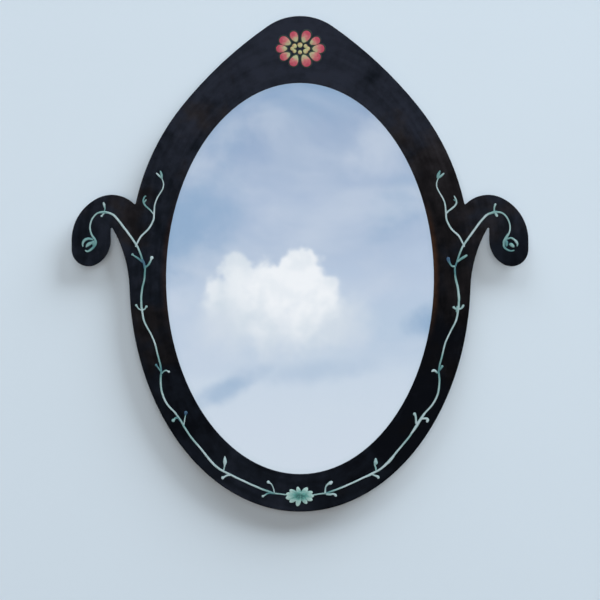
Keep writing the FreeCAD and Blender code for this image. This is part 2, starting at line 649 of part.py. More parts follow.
def make_hanger_lugs():
    """Lugs under the hanger straps, trimmed to the hoop, with two rivet holes each."""
    blanks = []
    for side, sign in SIDES.items():
        blank = new_body(f"hanger_lug_blank_{side}")
        outline = new_sketch(blank, "outline")
        inner = f"-({sign}) * sizes.hanger_lug_inner"
        outer = f"{sign} * (sizes.strap_width / 2 + sizes.hanger_lug_margin)"
        foot = "-(sizes.strap_length + sizes.hanger_lug_margin)"
        left, right = (inner, outer) if side == "right" else (outer, inner)
        rectangle(outline, left, right, foot, "-sizes.hanger_lug_clear")
        rivet_holes(outline)
        pad(outline, "sizes.lug_thick")
        blanks.append(place(blank, f"{sign} * {BAR_X}", "-sizes.bumper_height", BAR_Z))
    both = doc.addObject("Part::Compound", "hanger_lug_blanks")
    both.Links = blanks
    trim_to_hoop("hanger_lugs", both)


def rivet_holes(sketch):
    for drop in ("sizes.rivet_first", "(sizes.rivet_first + sizes.rivet_pitch)"):
        circle(sketch, "sizes.rivet_width / 2 + sizes.thread_ease", "0", f"-{drop}")


def is_strap_corner(edge):
    """True for the two edges through the strap at its lower corners."""
    return all(near(abs(point.x), "sizes.strap_width / 2") and near(point.z, "-sizes.strap_length")
               for point in edge.discretize(3))


def make_hanger_strap(side, sign):
    """Sheet folded round the ring's bar, with its two leaves riveted flat to the lug."""
    body = new_body(f"hanger_strap_{side}")
    section = new_sketch(body, "section", "YZ_Plane")
    barrel, foot = value(BARREL), -value("sizes.strap_length")
    leaf = value(STRAP_THICK) - barrel
    joint = -acos(leaf / barrel)
    face = line(section, (-barrel, foot), (-barrel, 0))
    roll = arc(section, (0, 0), barrel, joint, pi)
    back = line(section, (leaf, barrel * sin(joint)), (leaf, foot))
    end = line(section, (leaf, foot), (-barrel, foot))
    tie(section, "Tangent", face, END, roll, END)
    tie(section, "Coincident", roll, START, back, START)
    tie(section, "Coincident", back, END, end, START)
    tie(section, "Coincident", end, END, face, START)
    for upright in (face, back):
        tie(section, "Vertical", upright)
    tie(section, "Horizontal", end)
    tie(section, "Coincident", roll, CENTRE, *ORIGIN)
    bind(section, "Radius", [roll], BARREL)
    bind(section, "Distance", [end], STRAP_THICK)
    bind(section, "DistanceY", [face, START, *ORIGIN], "sizes.strap_length")
    circle(section, f"{BARREL} - sizes.strap_sheet")
    pad(section, "sizes.strap_width", both_ways=True)
    holes = new_sketch(body, "holes")
    rivet_holes(holes)
    cut_through(holes)
    round_edges(body, "sizes.strap_corner", is_strap_corner)
    place(body, f"{sign} * {BAR_X}", f"{BARREL} - sizes.bumper_height", BAR_Z)
    subpart(body, f"hanger_strap_{side}")


def make_hanger_ring(side, sign):
    """D-shaped wire ring whose straight bar turns in the strap, standing up as it hangs on a hook."""
    body = new_body(f"hanger_ring_{side}")
    half, corner = value("sizes.ring_width / 2"), value("sizes.ring_corner")
    shoulder = value("sizes.ring_rise - sizes.ring_width / 2")
    path = new_sketch(body, "path")
    loop = [
        line(path, (0, 0), (half - corner, 0)),
        arc(path, (half - corner, corner), corner, -pi / 2, 0),
        line(path, (half, corner), (half, shoulder)),
        arc(path, (0, shoulder), half, 0, pi),
        line(path, (-half, shoulder), (-half, corner)),
        arc(path, (corner - half, corner), corner, pi, 3 * pi / 2),
        line(path, (corner - half, 0), (0, 0)),
    ]
    bar_right, bend_right, side_right, crown, side_left, bend_left, bar_left = loop
    for first, second in zip(loop, loop[1:]):
        tie(path, "Tangent", first, END, second, START)
    tie(path, "Coincident", bar_left, END, *ORIGIN)
    tie(path, "Coincident", bar_right, START, *ORIGIN)
    tie(path, "Horizontal", bar_right)
    tie(path, "Vertical", side_right)
    tie(path, "PointOnObject", crown, CENTRE, V_AXIS)
    bind(path, "Radius", [bend_right], "sizes.ring_corner")
    tie(path, "Equal", bend_right, bend_left)
    bind(path, "Radius", [crown], "sizes.ring_width / 2")
    bind(path, "DistanceY", [*ORIGIN, crown, CENTRE], "sizes.ring_rise - sizes.ring_width / 2")
    wire = new_sketch(body, "wire", "YZ_Plane")
    circle(wire, "sizes.ring_wire / 2")
    doc.recompute()
    pipe = body.newObject("PartDesign::AdditivePipe", f"hanger_ring_{side}_pipe")
    pipe.Profile = wire
    pipe.Spine = (path, [f"Edge{number + 1}" for number in range(len(loop))])
    doc.recompute()
    place(body, f"{sign} * {BAR_X}", f"{BARREL} - sizes.bumper_height", BAR_Z)
    subpart(body, f"hanger_ring_{side}")


def make_hanger_rivets():
    """Domed rivets through strap and lug, set flat in front of the lug."""
    body = new_body("rivet_pattern")
    head = new_sketch(body, "head")
    circle(head, "sizes.rivet_head_width / 2")
    pad(head, "sizes.rivet_head_height", backward=True)
    round_edges(body, "sizes.rivet_head_round", lies_at("sizes.rivet_head_height"))
    grip = f"({STRAP_THICK} + sizes.lug_thick)"
    shank = new_sketch(body, "shank")
    circle(shank, "sizes.rivet_width / 2")
    pad(shank, f"{grip} + sizes.rivet_tail_height")
    tail = new_sketch(body, "tail")
    tail.setExpression("AttachmentOffset.Base.z", grip)
    circle(tail, "sizes.rivet_tail_width / 2")
    pad(tail, "sizes.rivet_tail_height")
    places = {}
    for side, sign in SIDES.items():
        for row, drop in (("upper", "0"), ("lower", "sizes.rivet_pitch")):
            y = f"{STRAP_THICK} - sizes.bumper_height"
            z = f"{BAR_Z} - sizes.rivet_first - {drop}"
            places[f"{side}_{row}"] = (f"{sign} * {BAR_X}", y, z, None)
    subpart(copies("hanger_rivets", body, places), "hanger_rivets")


make_frame_plate()
make_glazing()
make_setting_blocks()
make_turn_buttons()
make_wall_bumpers()
make_hanger_lugs()
for side, sign in SIDES.items():
    make_hanger_strap(side, sign)
    make_hanger_ring(side, sign)
make_hanger_rivets()
doc.recompute()

faults = [f"{obj.Label}: {obj.State}" for obj in doc.Objects
          if "Invalid" in obj.State or "Error" in obj.State]
faults += [f"{obj.Label}: bad shape" for obj in subparts
           if obj.Shape.isNull() or not obj.Shape.isValid() or not obj.Shape.Solids]
if faults:
    raise RuntimeError("; ".join(faults))

os.makedirs("parts", exist_ok=True)
for obj in subparts:
    obj.Shape.exportStep(f"parts/{obj.Label}.step")
    box = obj.Shape.BoundBox
    print(f"{obj.Label}: {len(obj.Shape.Solids)} solids, {obj.Shape.Volume:.0f} mm3, "
          f"{box.XLength:.1f} x {box.YLength:.1f} x {box.ZLength:.1f}")
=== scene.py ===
# %% [markdown]
# # An oval mirror in a frame of blackened steel
# This lesson dresses a wall mirror that was built elsewhere as exact solids. A flat sheet of steel, cut
# with a pointed crown and two curled arms, carries an oval mirror glass. A painter has brushed a vine along
# both sides of it. The back holds the glass with turn buttons and hangs on two rings.
#
# The solids already have the right shape, so they stay as they are and only get finishes. What the solids
# leave out is made here: the raised brush strokes, the painted rosettes and the weld beads behind.
# Everything is in metres: X points to the viewer's right, Z up, and the wall is the plane Y = 0.

# %% Load the solids
import math

import bpy
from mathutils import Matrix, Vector


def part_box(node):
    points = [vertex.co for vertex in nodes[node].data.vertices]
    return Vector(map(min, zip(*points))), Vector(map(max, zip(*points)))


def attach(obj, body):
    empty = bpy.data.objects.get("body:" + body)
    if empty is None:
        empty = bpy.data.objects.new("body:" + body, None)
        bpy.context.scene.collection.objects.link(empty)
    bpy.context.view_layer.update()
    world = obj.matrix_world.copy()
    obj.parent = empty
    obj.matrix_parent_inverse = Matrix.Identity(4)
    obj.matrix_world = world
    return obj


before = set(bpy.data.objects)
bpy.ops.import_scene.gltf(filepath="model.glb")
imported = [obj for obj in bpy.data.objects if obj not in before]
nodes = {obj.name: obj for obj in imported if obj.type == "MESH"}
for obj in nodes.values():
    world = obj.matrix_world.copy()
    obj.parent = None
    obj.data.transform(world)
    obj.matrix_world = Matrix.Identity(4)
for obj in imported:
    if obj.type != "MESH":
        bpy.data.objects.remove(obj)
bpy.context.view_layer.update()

MM = 0.001

# %% [markdown]
# ## Short words for node trees
# Finishes, sky and brush strokes are all node trees. Written out in full, each node takes three or four
# lines, so one function adds a node, sets its properties and fills its sockets. A socket that is given
# another node's output gets a link, and anything else becomes its value. A second function hands back the
# new node's first output, which is mostly the one that is wanted.

# %% Functions that add nodes


def is_output(value):
    return isinstance(value, bpy.types.NodeSocket)


def add(tree, kind, sockets=None, **settings):
    node = tree.nodes.new(kind)
    for name, value in settings.items():
        setattr(node, name, value)
    for key, value in (sockets or {}).items():
        if is_output(value):
            tree.links.new(value, node.inputs[key])
        else:
            node.inputs[key].default_value = value
    return node


def put(tree, kind, sockets=None, **settings):
    return add(tree, kind, sockets, **settings).outputs[0]


print("functions that add nodes")

# %% [markdown]
# Nearly every tree needs arithmetic. Each of these functions adds the nodes for one kind of it, and returns
# outputs to hand on. The tree could be named in every call, but an output knows its own tree, so they ask
# the outputs that they are given.

# %% Functions for arithmetic


def tree_of(values):
    return next(value.id_data for value in values if is_output(value))


def calc(operation, *values):
    return put(tree_of(values), "ShaderNodeMath", dict(enumerate(values)), operation=operation)


def minus(first, second):
    return calc("SUBTRACT", first, second)


def total(first, *others):
    for other in others:
        first = calc("ADD", first, other)
    return first


def product(first, *others):
    for other in others:
        first = calc("MULTIPLY", first, other)
    return first


def vector(operation, *values):
    node = add(tree_of(values), "ShaderNodeVectorMath", dict(enumerate(values)), operation=operation)
    return node.outputs["Value" if operation in ("DISTANCE", "LENGTH") else "Vector"]


def axes(value):
    return add(value.id_data, "ShaderNodeSeparateXYZ", {0: value}).outputs


def join_axes(*values):
    return put(tree_of(values), "ShaderNodeCombineXYZ", dict(enumerate(values)))


print("functions for arithmetic")

# %% [markdown]
# Patterns and colours need five more. Noise runs from 0 to 1 and is where nearly every finish starts, and a
# swing centres it on nought. A fade turns a range of values into a soft step, a tint mixes two colours by
# such a value, and a ramp lays out several colours in a row.

# %% Functions for patterns and colours


def noise(place, scale, detail=4.0, roughness=0.55, distortion=0.0):
    sockets = {"Vector": place, "Scale": scale, "Detail": detail, "Roughness": roughness}
    return put(place.id_data, "ShaderNodeTexNoise", {**sockets, "Distortion": distortion})


def swing(pattern, width):
    return product(minus(pattern, 0.5), width)


def fade(value, start, end, low=0.0, high=1.0):
    sockets = dict(enumerate((value, start, end, low, high)))
    return put(value.id_data, "ShaderNodeMapRange", sockets, interpolation_type="SMOOTHSTEP")


def tint(factor, first, second):
    first, second = (colour if is_output(colour) else (*colour, 1) for colour in (first, second))
    return add(factor.id_data, "ShaderNodeMix", {0: factor, 6: first, 7: second}, data_type="RGBA").outputs[2]


def ramp(factor, *stops):
    node = add(factor.id_data, "ShaderNodeValToRGB", {0: factor})
    elements = node.color_ramp.elements
    elements[0].position, elements[1].position = stops[0][0], stops[-1][0]
    elements[0].color, elements[1].color = (*stops[0][1], 1), (*stops[-1][1], 1)
    for place, colour in stops[1:-1]:
        elements.new(place).color = (*colour, 1)
    return node.outputs[0]


print("functions for patterns and colours")

# %% [markdown]
# ## The camera
# The photograph looks straight at the wall from some way off: both arms are equally wide, and neither the
# foot nor the crown leans away. A long lens at 2.6 m does the same. The picture is square and takes in 738
# mm at the front of the sheet, which sets the focal length.

# %% Camera
SHEET_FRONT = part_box("frame_plate")[0].y
CAMERA_Y = -2.6
PICTURE_WIDTH = 738.2 * MM
PICTURE_MIDDLE_Z = -204.8 * MM


def into_scene(name, data):
    obj = bpy.data.objects.new(name, data)
    bpy.context.scene.collection.objects.link(obj)
    return obj


camera_data = bpy.data.cameras.new("camera")
camera_data.lens = camera_data.sensor_width * (SHEET_FRONT - CAMERA_Y) / PICTURE_WIDTH
camera = into_scene("camera", camera_data)
camera.location = (0, CAMERA_Y, PICTURE_MIDDLE_Z)
camera.rotation_euler = (math.radians(90), 0, 0)
bpy.context.scene.camera = camera
bpy.context.scene.view_settings.view_transform = "Standard"
print(f"camera lens {camera_data.lens:.1f} mm")

# %% [markdown]
# ## The sky in the glass
# A mirror has no picture of its own: it shows what stands before it, here a pale sky with one bright cloud.
# Painting that on the glass would stick it there from every side, so it belongs in the world, where only
# glossy rays see it. Through this lens the glass covers about ten degrees of sky. One unit below is the sky
# that 123 mm of glass reflects, counted from the middle of the picture.
#
# The sky is a gradient with drifting veils of noise and a few blue gaps. The cloud is a group of round
# lobes whose edge is broken up by noise, the way real vapour billows. The edge is crisp on top, where the
# sun strikes, and dissolves lower down.

# %% What is in the sky
SKY_UNITS = 21.0
SKY_BANDS = (
    (0.00, (0.64, 0.72, 0.81)),
    (0.20, (0.60, 0.69, 0.80)),
    (0.30, (0.50, 0.61, 0.75)),
    (0.50, (0.50, 0.60, 0.75)),
    (0.64, (0.44, 0.54, 0.70)),
    (0.82, (0.41, 0.51, 0.68)),
    (1.00, (0.27, 0.38, 0.57)),
)
CLOUD_LOBES = (
    ((-0.64, 0.27), 0.18),
    ((0.00, 0.28), 0.23),
    ((-0.72, 0.05), 0.22),
    ((-0.30, 0.06), 0.33),
    ((0.19, 0.00), 0.24),
    ((-0.40, -0.16), 0.28),
    ((0.02, -0.20), 0.26),
)
CLOUD_SKIRT = (
    ((-0.70, -0.16), 0.34),
    ((-0.20, -0.22), 0.38),
    ((0.36, -0.20), 0.32),
)
BLUE_GAPS = (
    ((-0.72, -0.88), (0.56, 0.16), 0.45, 0.66),
    ((1.28, -0.22), (0.30, 0.22), 0.30, 0.80),
    ((-1.15, 0.72), (0.75, 0.75), 0.30, 0.85),
    ((0.05, 2.10), (1.10, 0.40), 0.00, 0.55),
    ((0.98, 0.92), (0.42, 0.36), 0.40, 0.70),
    ((-0.80, 1.65), (0.45, 0.35), 0.30, 0.35),
    ((0.10, -0.72), (0.80, 0.16), 0.10, 0.35),
)
GAP_BLUE = (0.28, 0.42, 0.61)
PALE_VEILS = (
    ((0.78, 1.50), (0.42, 0.34), 0.20, 0.60),
    ((-1.20, 0.02), (0.34, 0.22), 0.30, 0.40),
)
VEIL_PALE = (0.64, 0.71, 0.81)
CLOUD_HEART = (-0.08, 0, 0.0)
print(f"{len(CLOUD_LOBES)} cloud lobes, {len(BLUE_GAPS)} blue gaps, {len(PALE_VEILS)} pale veils")

# %% [markdown]
# All of these are distances. For the cloud, Smooth Minimum joins the distances to the lobes, so that they
# melt into one heap, and noise is added before the edge is drawn. A gap or a veil is an oval that leans a
# little. The sky is then painted from the back to the front: gradient, gaps, veils, the cloud's pale skirt,
# the cloud.

# %% Sky tree
LOBE_BLEND = 0.2
OVAL_RAGGEDNESS, SKIRT_RAGGEDNESS, CLOUD_RAGGEDNESS = 1.4, 1.2, 1.9
SKIRT_WHITE, SHADED_WHITE, SUNLIT_WHITE = (0.67, 0.735, 0.815), (0.66, 0.735, 0.81), (0.90, 0.925, 0.955)


def heap_reach(flat, lobes, billow, raggedness):
    reach = None
    for (lobe_x, lobe_z), radius in lobes:
        away = calc("DIVIDE", vector("DISTANCE", flat, (lobe_x, 0, lobe_z)), radius)
        reach = away if reach is None else calc("SMOOTH_MIN", reach, away, LOBE_BLEND)
    return total(reach, swing(billow, raggedness))


def paint_ovals(colour, paint, ovals, flat, billow):
    for (middle_x, middle_z), (wide, high), slope, strength in ovals:
        x, _, z = axes(vector("SUBTRACT", flat, (middle_x, 0, middle_z)))
        leaning = join_axes(x, 0.0, minus(z, product(x, slope)))
        reach = vector("LENGTH", vector("DIVIDE", leaning, (wide, 1, high)))
        ragged = total(reach, swing(billow, OVAL_RAGGEDNESS))
        colour = tint(fade(ragged, 1.1, 0.1, 0.0, strength), colour, paint)
    return colour


def cloudy_sky(tree):
    sky = vector("MULTIPLY", add(tree, "ShaderNodeTexCoord").outputs["Generated"], (SKY_UNITS,) * 3)
    x, _, z = axes(sky)
    flat = join_axes(x, 0.0, z)
    billow = noise(flat, 3.6, detail=6, roughness=0.62)
    veil = noise(vector("MULTIPLY", sky, (0.8, 0.8, 1.5)), 1.0, detail=5, distortion=0.4)
    colour = ramp(fade(total(z, swing(veil, 1.6)), -2.0, 2.2), *SKY_BANDS)
    colour = paint_ovals(colour, GAP_BLUE, BLUE_GAPS, flat, billow)
    colour = tint(fade(veil, 0.42, 0.68, 0.0, 0.55), colour, VEIL_PALE)
    colour = paint_ovals(colour, VEIL_PALE, PALE_VEILS, flat, billow)
    skirt = heap_reach(flat, CLOUD_SKIRT, billow, SKIRT_RAGGEDNESS)
    colour = tint(fade(skirt, 1.5, 0.3, 0.0, 0.85), colour, SKIRT_WHITE)
    heap = heap_reach(flat, CLOUD_LOBES, billow, CLOUD_RAGGEDNESS)
    soft = fade(z, 0.30, -0.45, 0.16, 0.80)
    folds = fade(noise(flat, 4.2, detail=4, roughness=0.5), 0.36, 0.62, 0.0, 0.5)
    upper = fade(z, -0.35, 0.25, 0.0, 0.5)
    heart = fade(vector("DISTANCE", flat, CLOUD_HEART), 0.75, 0.15, -0.30, 0.30)
    vapour = tint(total(folds, upper, heart), SHADED_WHITE, SUNLIT_WHITE)
    return tint(fade(heap, total(1.0, soft), minus(1.0, soft)), colour, vapour)


print("sky ready for the world")

# %% [markdown]
# The world has three faces. The camera sees a plain pale ground. Glossy rays see the sky. Everything else
# gets a soft daylight, cool from above and warm from below, as light that comes back off paving. It could
# come evenly from all round, but light that grazes a wall draws a dark halo round whatever hangs there, and
# the photograph has none above. So nearly all of it comes from straight ahead and straight behind.

# %% World
SEEN_GROUND = (0.62, 0.715, 0.79, 1)
ALONG_WALL, FACE_ON, FACE_ON_FOCUS = 0.06, 6.9, 24.0
DAYLIGHT_BANDS = (
    (0.00, (0.60, 0.38, 0.20)),
    (0.40, (0.68, 0.58, 0.49)),
    (0.60, (0.80, 0.82, 0.84)),
    (1.00, (0.92, 0.98, 1.04)),
)

world = bpy.data.worlds.new("daylight")
bpy.context.scene.world = world
world.use_nodes = True
tree = world.node_tree
tree.nodes.clear()
_, depth, upness = axes(add(tree, "ShaderNodeTexCoord").outputs["Generated"])
daylight = ramp(fade(upness, -1, 1), *DAYLIGHT_BANDS)
ahead = calc("POWER", calc("ABSOLUTE", depth), FACE_ON_FOCUS)
level = calc("MULTIPLY_ADD", ahead, FACE_ON, ALONG_WALL)
path = add(tree, "ShaderNodeLightPath").outputs
mirrored = calc("MAXIMUM", path["Is Glossy Ray"], path["Is Transmission Ray"])
even = put(tree, "ShaderNodeBackground", {"Color": daylight, "Strength": level})
clouds = put(tree, "ShaderNodeBackground", {"Color": cloudy_sky(tree)})
ground = put(tree, "ShaderNodeBackground", {"Color": SEEN_GROUND})
unseen = put(tree, "ShaderNodeMixShader", {0: mirrored, 1: even, 2: clouds})
seen = put(tree, "ShaderNodeMixShader", {0: path["Is Camera Ray"], 1: unseen, 2: ground})
add(tree, "ShaderNodeOutputWorld", {"Surface": seen})
print(f"world with {len(tree.nodes)} nodes")

# %% [markdown]
# ## What every finish starts with
# Each finish is one Principled shader. Numbers that are the same all over are set on the shader's own
# sockets, and patterns are linked to it. Nearly all patterns read Object coordinates. The solids sit at the
# origin with their place in the mesh, so these coordinates are simply metres in the mirror's own frame, and
# no pattern slides. Most values of a noise lie between 0.3 and 0.7, so that range is spread over the
# roughness that a surface has.

# %% Functions for finishes
NOISE_LOW, NOISE_HIGH = 0.3, 0.7


def shader_of(material):
    return material.node_tree.nodes["Principled BSDF"]


def start_finish(name, **constants):
    material = bpy.data.materials.new(name)
    material.use_nodes = True
    for socket, value in constants.items():
        shader_of(material).inputs[socket.replace("_", " ")].default_value = value
    return material, add(material.node_tree, "ShaderNodeTexCoord").outputs["Object"]


def rough(pattern, smoothest, roughest):
    return fade(pattern, NOISE_LOW, NOISE_HIGH, smoothest, roughest)


def relief(height, depth, strength=1.0):
    return put(height.id_data, "ShaderNodeBump", {"Strength": strength, "Distance": depth, "Height": height})


def cover(material, colour, roughness=None, normal=None):
    for label, output in (("Base Color", colour), ("Roughness", roughness), ("Normal", normal)):
        if output is not None:
            material.node_tree.links.new(output, shader_of(material).inputs[label])
    return material


def dress(material, *names):
    for name in names:
        mesh = nodes[name].data
        mesh.materials.clear()
        mesh.materials.append(material)
    print(f"{material.name}: {', '.join(names)}")


print("functions for finishes")

# %% [markdown]
# ## Wall and floor
# The mirror hangs on a pale wall, with a pale floor well below it. Both would be in the way of a look at
# the back, so each shows only its front: where a ray meets the rear side, the surface is clear. The wall
# also lets light through to the back of the frame and keeps only the frame's shadow. Both are hidden from
# diffuse rays, so they throw no soft light back at the frame: the world already gives what comes up from
# below. Towards their rims both fade into the ground colour of the world, so no edge of the stage shows.

# %% Stage
STAGE_HALF, FLOOR_Z = 5.0, -1.1
WALL_GAP = 0.2 * MM
PALER = 1.05
CORNERS = [(a * STAGE_HALF, b * STAGE_HALF) for a, b in ((-1, -1), (1, -1), (1, 1), (-1, 1))]


def stage_finish(name, colour, fade_from, fade_to):
    material, place = start_finish(name, Roughness=0.9, Specular_IOR_Level=0.1)
    tree = material.node_tree
    cover(material, tint(noise(place, 1.6, detail=3), colour, [PALER * c for c in colour]))
    rim = fade(vector("LENGTH", place), fade_from, fade_to)
    behind = add(tree, "ShaderNodeNewGeometry").outputs["Backfacing"]
    clear = put(tree, "ShaderNodeBsdfTransparent")
    shown = {0: calc("MAXIMUM", rim, behind), 1: shader_of(material).outputs[0], 2: clear}
    tree.links.new(put(tree, "ShaderNodeMixShader", shown), tree.nodes["Material Output"].inputs["Surface"])
    return material


def stage_sheet(name, corners, material):
    mesh = bpy.data.meshes.new(name)
    mesh.from_pydata(corners, [], [(0, 1, 2, 3)])
    mesh.materials.append(material)
    sheet = into_scene(name, mesh)
    return sheet


wall_finish = stage_finish("pale_wall", (0.595, 0.695, 0.785), fade_from=1.2, fade_to=3.5)
wall = stage_sheet("wall", [(x, WALL_GAP, z) for x, z in CORNERS], wall_finish)
wall.visible_diffuse = wall.visible_glossy = wall.visible_shadow = False
floor_finish = stage_finish("pale_floor", (0.30, 0.335, 0.365), fade_from=1.8, fade_to=4.2)
floor = stage_sheet("floor", [(x, y, FLOOR_Z) for x, y in CORNERS], floor_finish)
floor.visible_diffuse = False
print("stage:", wall.name, floor.name)

# %% [markdown]
# ## Lamps
# The shadow in the photograph is broad and has no hard edge. It is darkest under the foot and on the left,
# weak on the right and missing above, so the light came from a wide sky overhead, brighter on the right. A
# sun lamp would draw the edge too sharp, and a small lamp would light one arm more than the other. Two very
# large disks, high up and far off, do neither: a strong one on the right and a weaker one on the left. A
# smaller one behind the wall lights the back for looks from there.

# %% Lamps
LAMPS = (
    ("key_lamp", (7.6, -3.6, 9.2), 10.0, 2340.0, (0.96, 1.0, 1.03)),
    ("fill_lamp", (-2.5, -4.8, 11.2), 10.0, 980.0, (0.96, 1.0, 1.03)),
    ("back_lamp", (-1.2, 2.2, 1.0), 3.6, 48.0, (1.0, 0.95, 0.89)),
)
LAMP_AIM = Vector((0.0, 0.0, -0.2))

for name, place, size, power, colour in LAMPS:
    lamp_data = bpy.data.lights.new(name, "AREA")
    lamp_data.shape = "DISK"
    lamp_data.size = size
    lamp_data.energy = power
    lamp_data.color = colour
    lamp = into_scene(name, lamp_data)
    lamp.location = place
    lamp.rotation_euler = (LAMP_AIM - lamp.location).to_track_quat("-Z", "Y").to_euler()
    print(f"{name}: {power} W, {size} m across")

# %% [markdown]
# ## The sheet's finish: blackened steel
# The steel was heated or treated with a blackening solution and then waxed. That leaves clouds of blue-grey
# and brown-black, a hand's breadth across, with finer mottling inside them, and hardly any shine. Some of
# it follows the oval opening, so the first thing needed is how far from there a point lies. The distance to
# the nearest edge would take a search. The formula of an ellipse takes none: 1 is the edge of the glass,
# and larger values lie outside it.

# %% Distance from the opening
OVAL_MIDDLE_Z = -178.3 * MM
SIGHT_HALF_WIDTH, SIGHT_HALF_HEIGHT = 165.0 * MM, 241.0 * MM


def round_the_opening(place):
    from_middle = vector("SUBTRACT", place, (0, 0, OVAL_MIDDLE_Z))
    flat = vector("MULTIPLY", from_middle, (1 / SIGHT_HALF_WIDTH, 0, 1 / SIGHT_HALF_HEIGHT))
    return vector("LENGTH", flat)


print(f"opening {2 * SIGHT_HALF_WIDTH / MM:.0f} by {2 * SIGHT_HALF_HEIGHT / MM:.0f} mm")

# %% [markdown]
# The patina could be one noise through one colour ramp, but a real one has several scales at once, so a
# broad cloud, a mottle and the marks of the wiping rag, which went round the opening, are added up.
# Arms and foot are paler and bluer, and beside the glass the colour is warm. Over this lies painted light:
# the colour darkens towards the bottom and most at the lower right, painted shade, and the crown is paler
# and bluer, a painted sheen of the sky.

# %% Patina of the sheet, with painted shade and sheen
ARMS_Z = -120.0 * MM
COLD_BLACK = (
    (0.30, (0.0006, 0.0011, 0.0026)),
    (0.46, (0.0034, 0.0055, 0.0097)),
    (0.70, (0.0150, 0.0187, 0.0305)),
)
WARM_BLACK = (
    (0.30, (0.0014, 0.0011, 0.0014)),
    (0.46, (0.0072, 0.0060, 0.0068)),
    (0.70, (0.0205, 0.0190, 0.0225)),
)


def patina_and_painted_light(place, ring, mottle):
    x, _, z = axes(place)
    aside = calc("ABSOLUTE", x)
    from_arms = calc("ABSOLUTE", minus(z, ARMS_Z))
    turn = calc("ARCTAN2", x, minus(z, OVAL_MIDDLE_Z))
    wiped = noise(join_axes(product(turn, 1.3), product(ring, 9.0)), 3.0)
    cloud = noise(place, 17, detail=5, roughness=0.6, distortion=0.5)
    paleness = total(product(mottle, 0.34), product(cloud, 0.50), product(wiped, 0.26))
    crown = product(fade(z, 0.03, 0.08), fade(aside, 0.10, 0.02))
    over_glass = product(crown, fade(ring, 1.14, 1.04))
    # Painted shade: the colour darkens towards the bottom.
    painted_shade_below = fade(z, -0.27, 0.09, -0.18, 0.05)
    pale_arms = fade(aside, 0.19, 0.24, 0.0, 0.06)
    pale_foot = fade(z, -0.36, -0.46, 0.0, 0.12)
    # Painted sheen of the sky: the crown and the sheet above the glass are paler.
    painted_sheen_crown_pale = total(product(crown, 0.05), product(over_glass, 0.06))
    # Painted shade: the lower right is darkest.
    painted_shade_lower_right = product(fade(x, -0.15, 0.15, 0.03, -0.09), fade(z, 0.0, -0.30))
    paleness = total(paleness, painted_shade_below, pale_arms, pale_foot, painted_sheen_crown_pale, painted_shade_lower_right)
    warmth = noise(vector("ADD", place, (3.0, 0, 0)), 13, detail=4, roughness=0.6)
    warm_middle = fade(from_arms, 0.30, 0.10, -0.08, 0.02)
    cold_arms = fade(aside, 0.19, 0.25, 0.0, -0.08)
    cold_foot = fade(z, -0.34, -0.43, 0.0, -0.12)
    # Painted sheen of the sky: the crown and the sheet above the glass are bluer.
    painted_sheen_crown_blue = total(product(crown, -0.10), product(over_glass, -0.08))
    warm_right = product(fade(from_arms, 0.18, 0.08), fade(x, 0.0, 0.16, 0.0, 0.06))
    warmth = total(warmth, warm_middle, cold_arms, cold_foot, painted_sheen_crown_blue, warm_right)
    cold, warm = ramp(paleness, *COLD_BLACK), ramp(paleness, *WARM_BLACK)
    return tint(fade(warmth, 0.45, 0.63), cold, warm)


print("patina ready")

# %% [markdown]
# Two things lie over the patina. Along the opening, most of all on the right, a brown band is laid on the
# sheet: a painted reflection of the sheet's cut edge in the glass. And the cut edge of the sheet is a little
# scuffed and carries the fine lines of the cut. The edge could have a material of its own, but the sheet is
# one solid with one slot, so its normal tells: on the flat faces it points straight forward or back, on the
# edge it points anywhere else.

# %% Blackened steel
BROWN_Z = -165.0 * MM
REFLECTED_EDGE_BROWN, SCUFFED_GREY = (0.042, 0.0170, 0.0070), (0.040, 0.042, 0.050)


def blackened_steel():
    material, place = start_finish("blackened_steel", Specular_IOR_Level=0.05)
    x, _, z = axes(place)
    ring = round_the_opening(place)
    mottle = noise(place, 75, detail=5, roughness=0.65)
    colour = patina_and_painted_light(place, ring, mottle)
    # Painted reflection: a brown band beside the opening, strongest on the right, stands for the glass
    # reflecting the cut edge.
    reflected_edge = product(fade(ring, 1.05, 1.0), fade(mottle, 0.30, 0.6, 0.45, 1.0))
    beside = fade(calc("ABSOLUTE", minus(z, BROWN_Z)), 0.10, 0.01)
    stronger_right = fade(x, -0.2, 0.2, 0.35, 1.0)
    colour = tint(product(reflected_edge, beside, stronger_right), colour, REFLECTED_EDGE_BROWN)
    facing = axes(add(material.node_tree, "ShaderNodeTexCoord").outputs["Normal"])[1]
    rim = fade(calc("ABSOLUTE", facing), 0.97, 0.55)
    scuff = product(rim, fade(mottle, 0.42, 0.62, 0.15, 0.8))
    colour = tint(scuff, colour, SCUFFED_GREY)
    grain = noise(place, 1400, detail=2)
    cut_lines = noise(vector("MULTIPLY", place, (1, 0.03, 1)), 1100, detail=2)
    surface = tint(rim, join_axes(grain, grain, grain), join_axes(cut_lines, cut_lines, cut_lines))
    dullness = rough(total(mottle, product(rim, 0.1)), 0.36, 0.54)
    return cover(material, colour, dullness, relief(surface, 0.06 * MM, 0.6))


dress(blackened_steel(), "frame_plate")

# %% [markdown]
# ## The glass
# This is ordinary mirror glass, silvered behind. A clear pane over a sheet of silver would be closest to
# it, but it costs many more rays and looks the same from a step away, so one metallic, very smooth surface
# stands for both. A perfect one looks like a hole, though. Silvered glass takes a faint cool tint, and a
# little dust and wiping leave a haze. Along the rim the glass is darker: painted shade where the sheet's
# edge overhangs it.

# %% Mirror


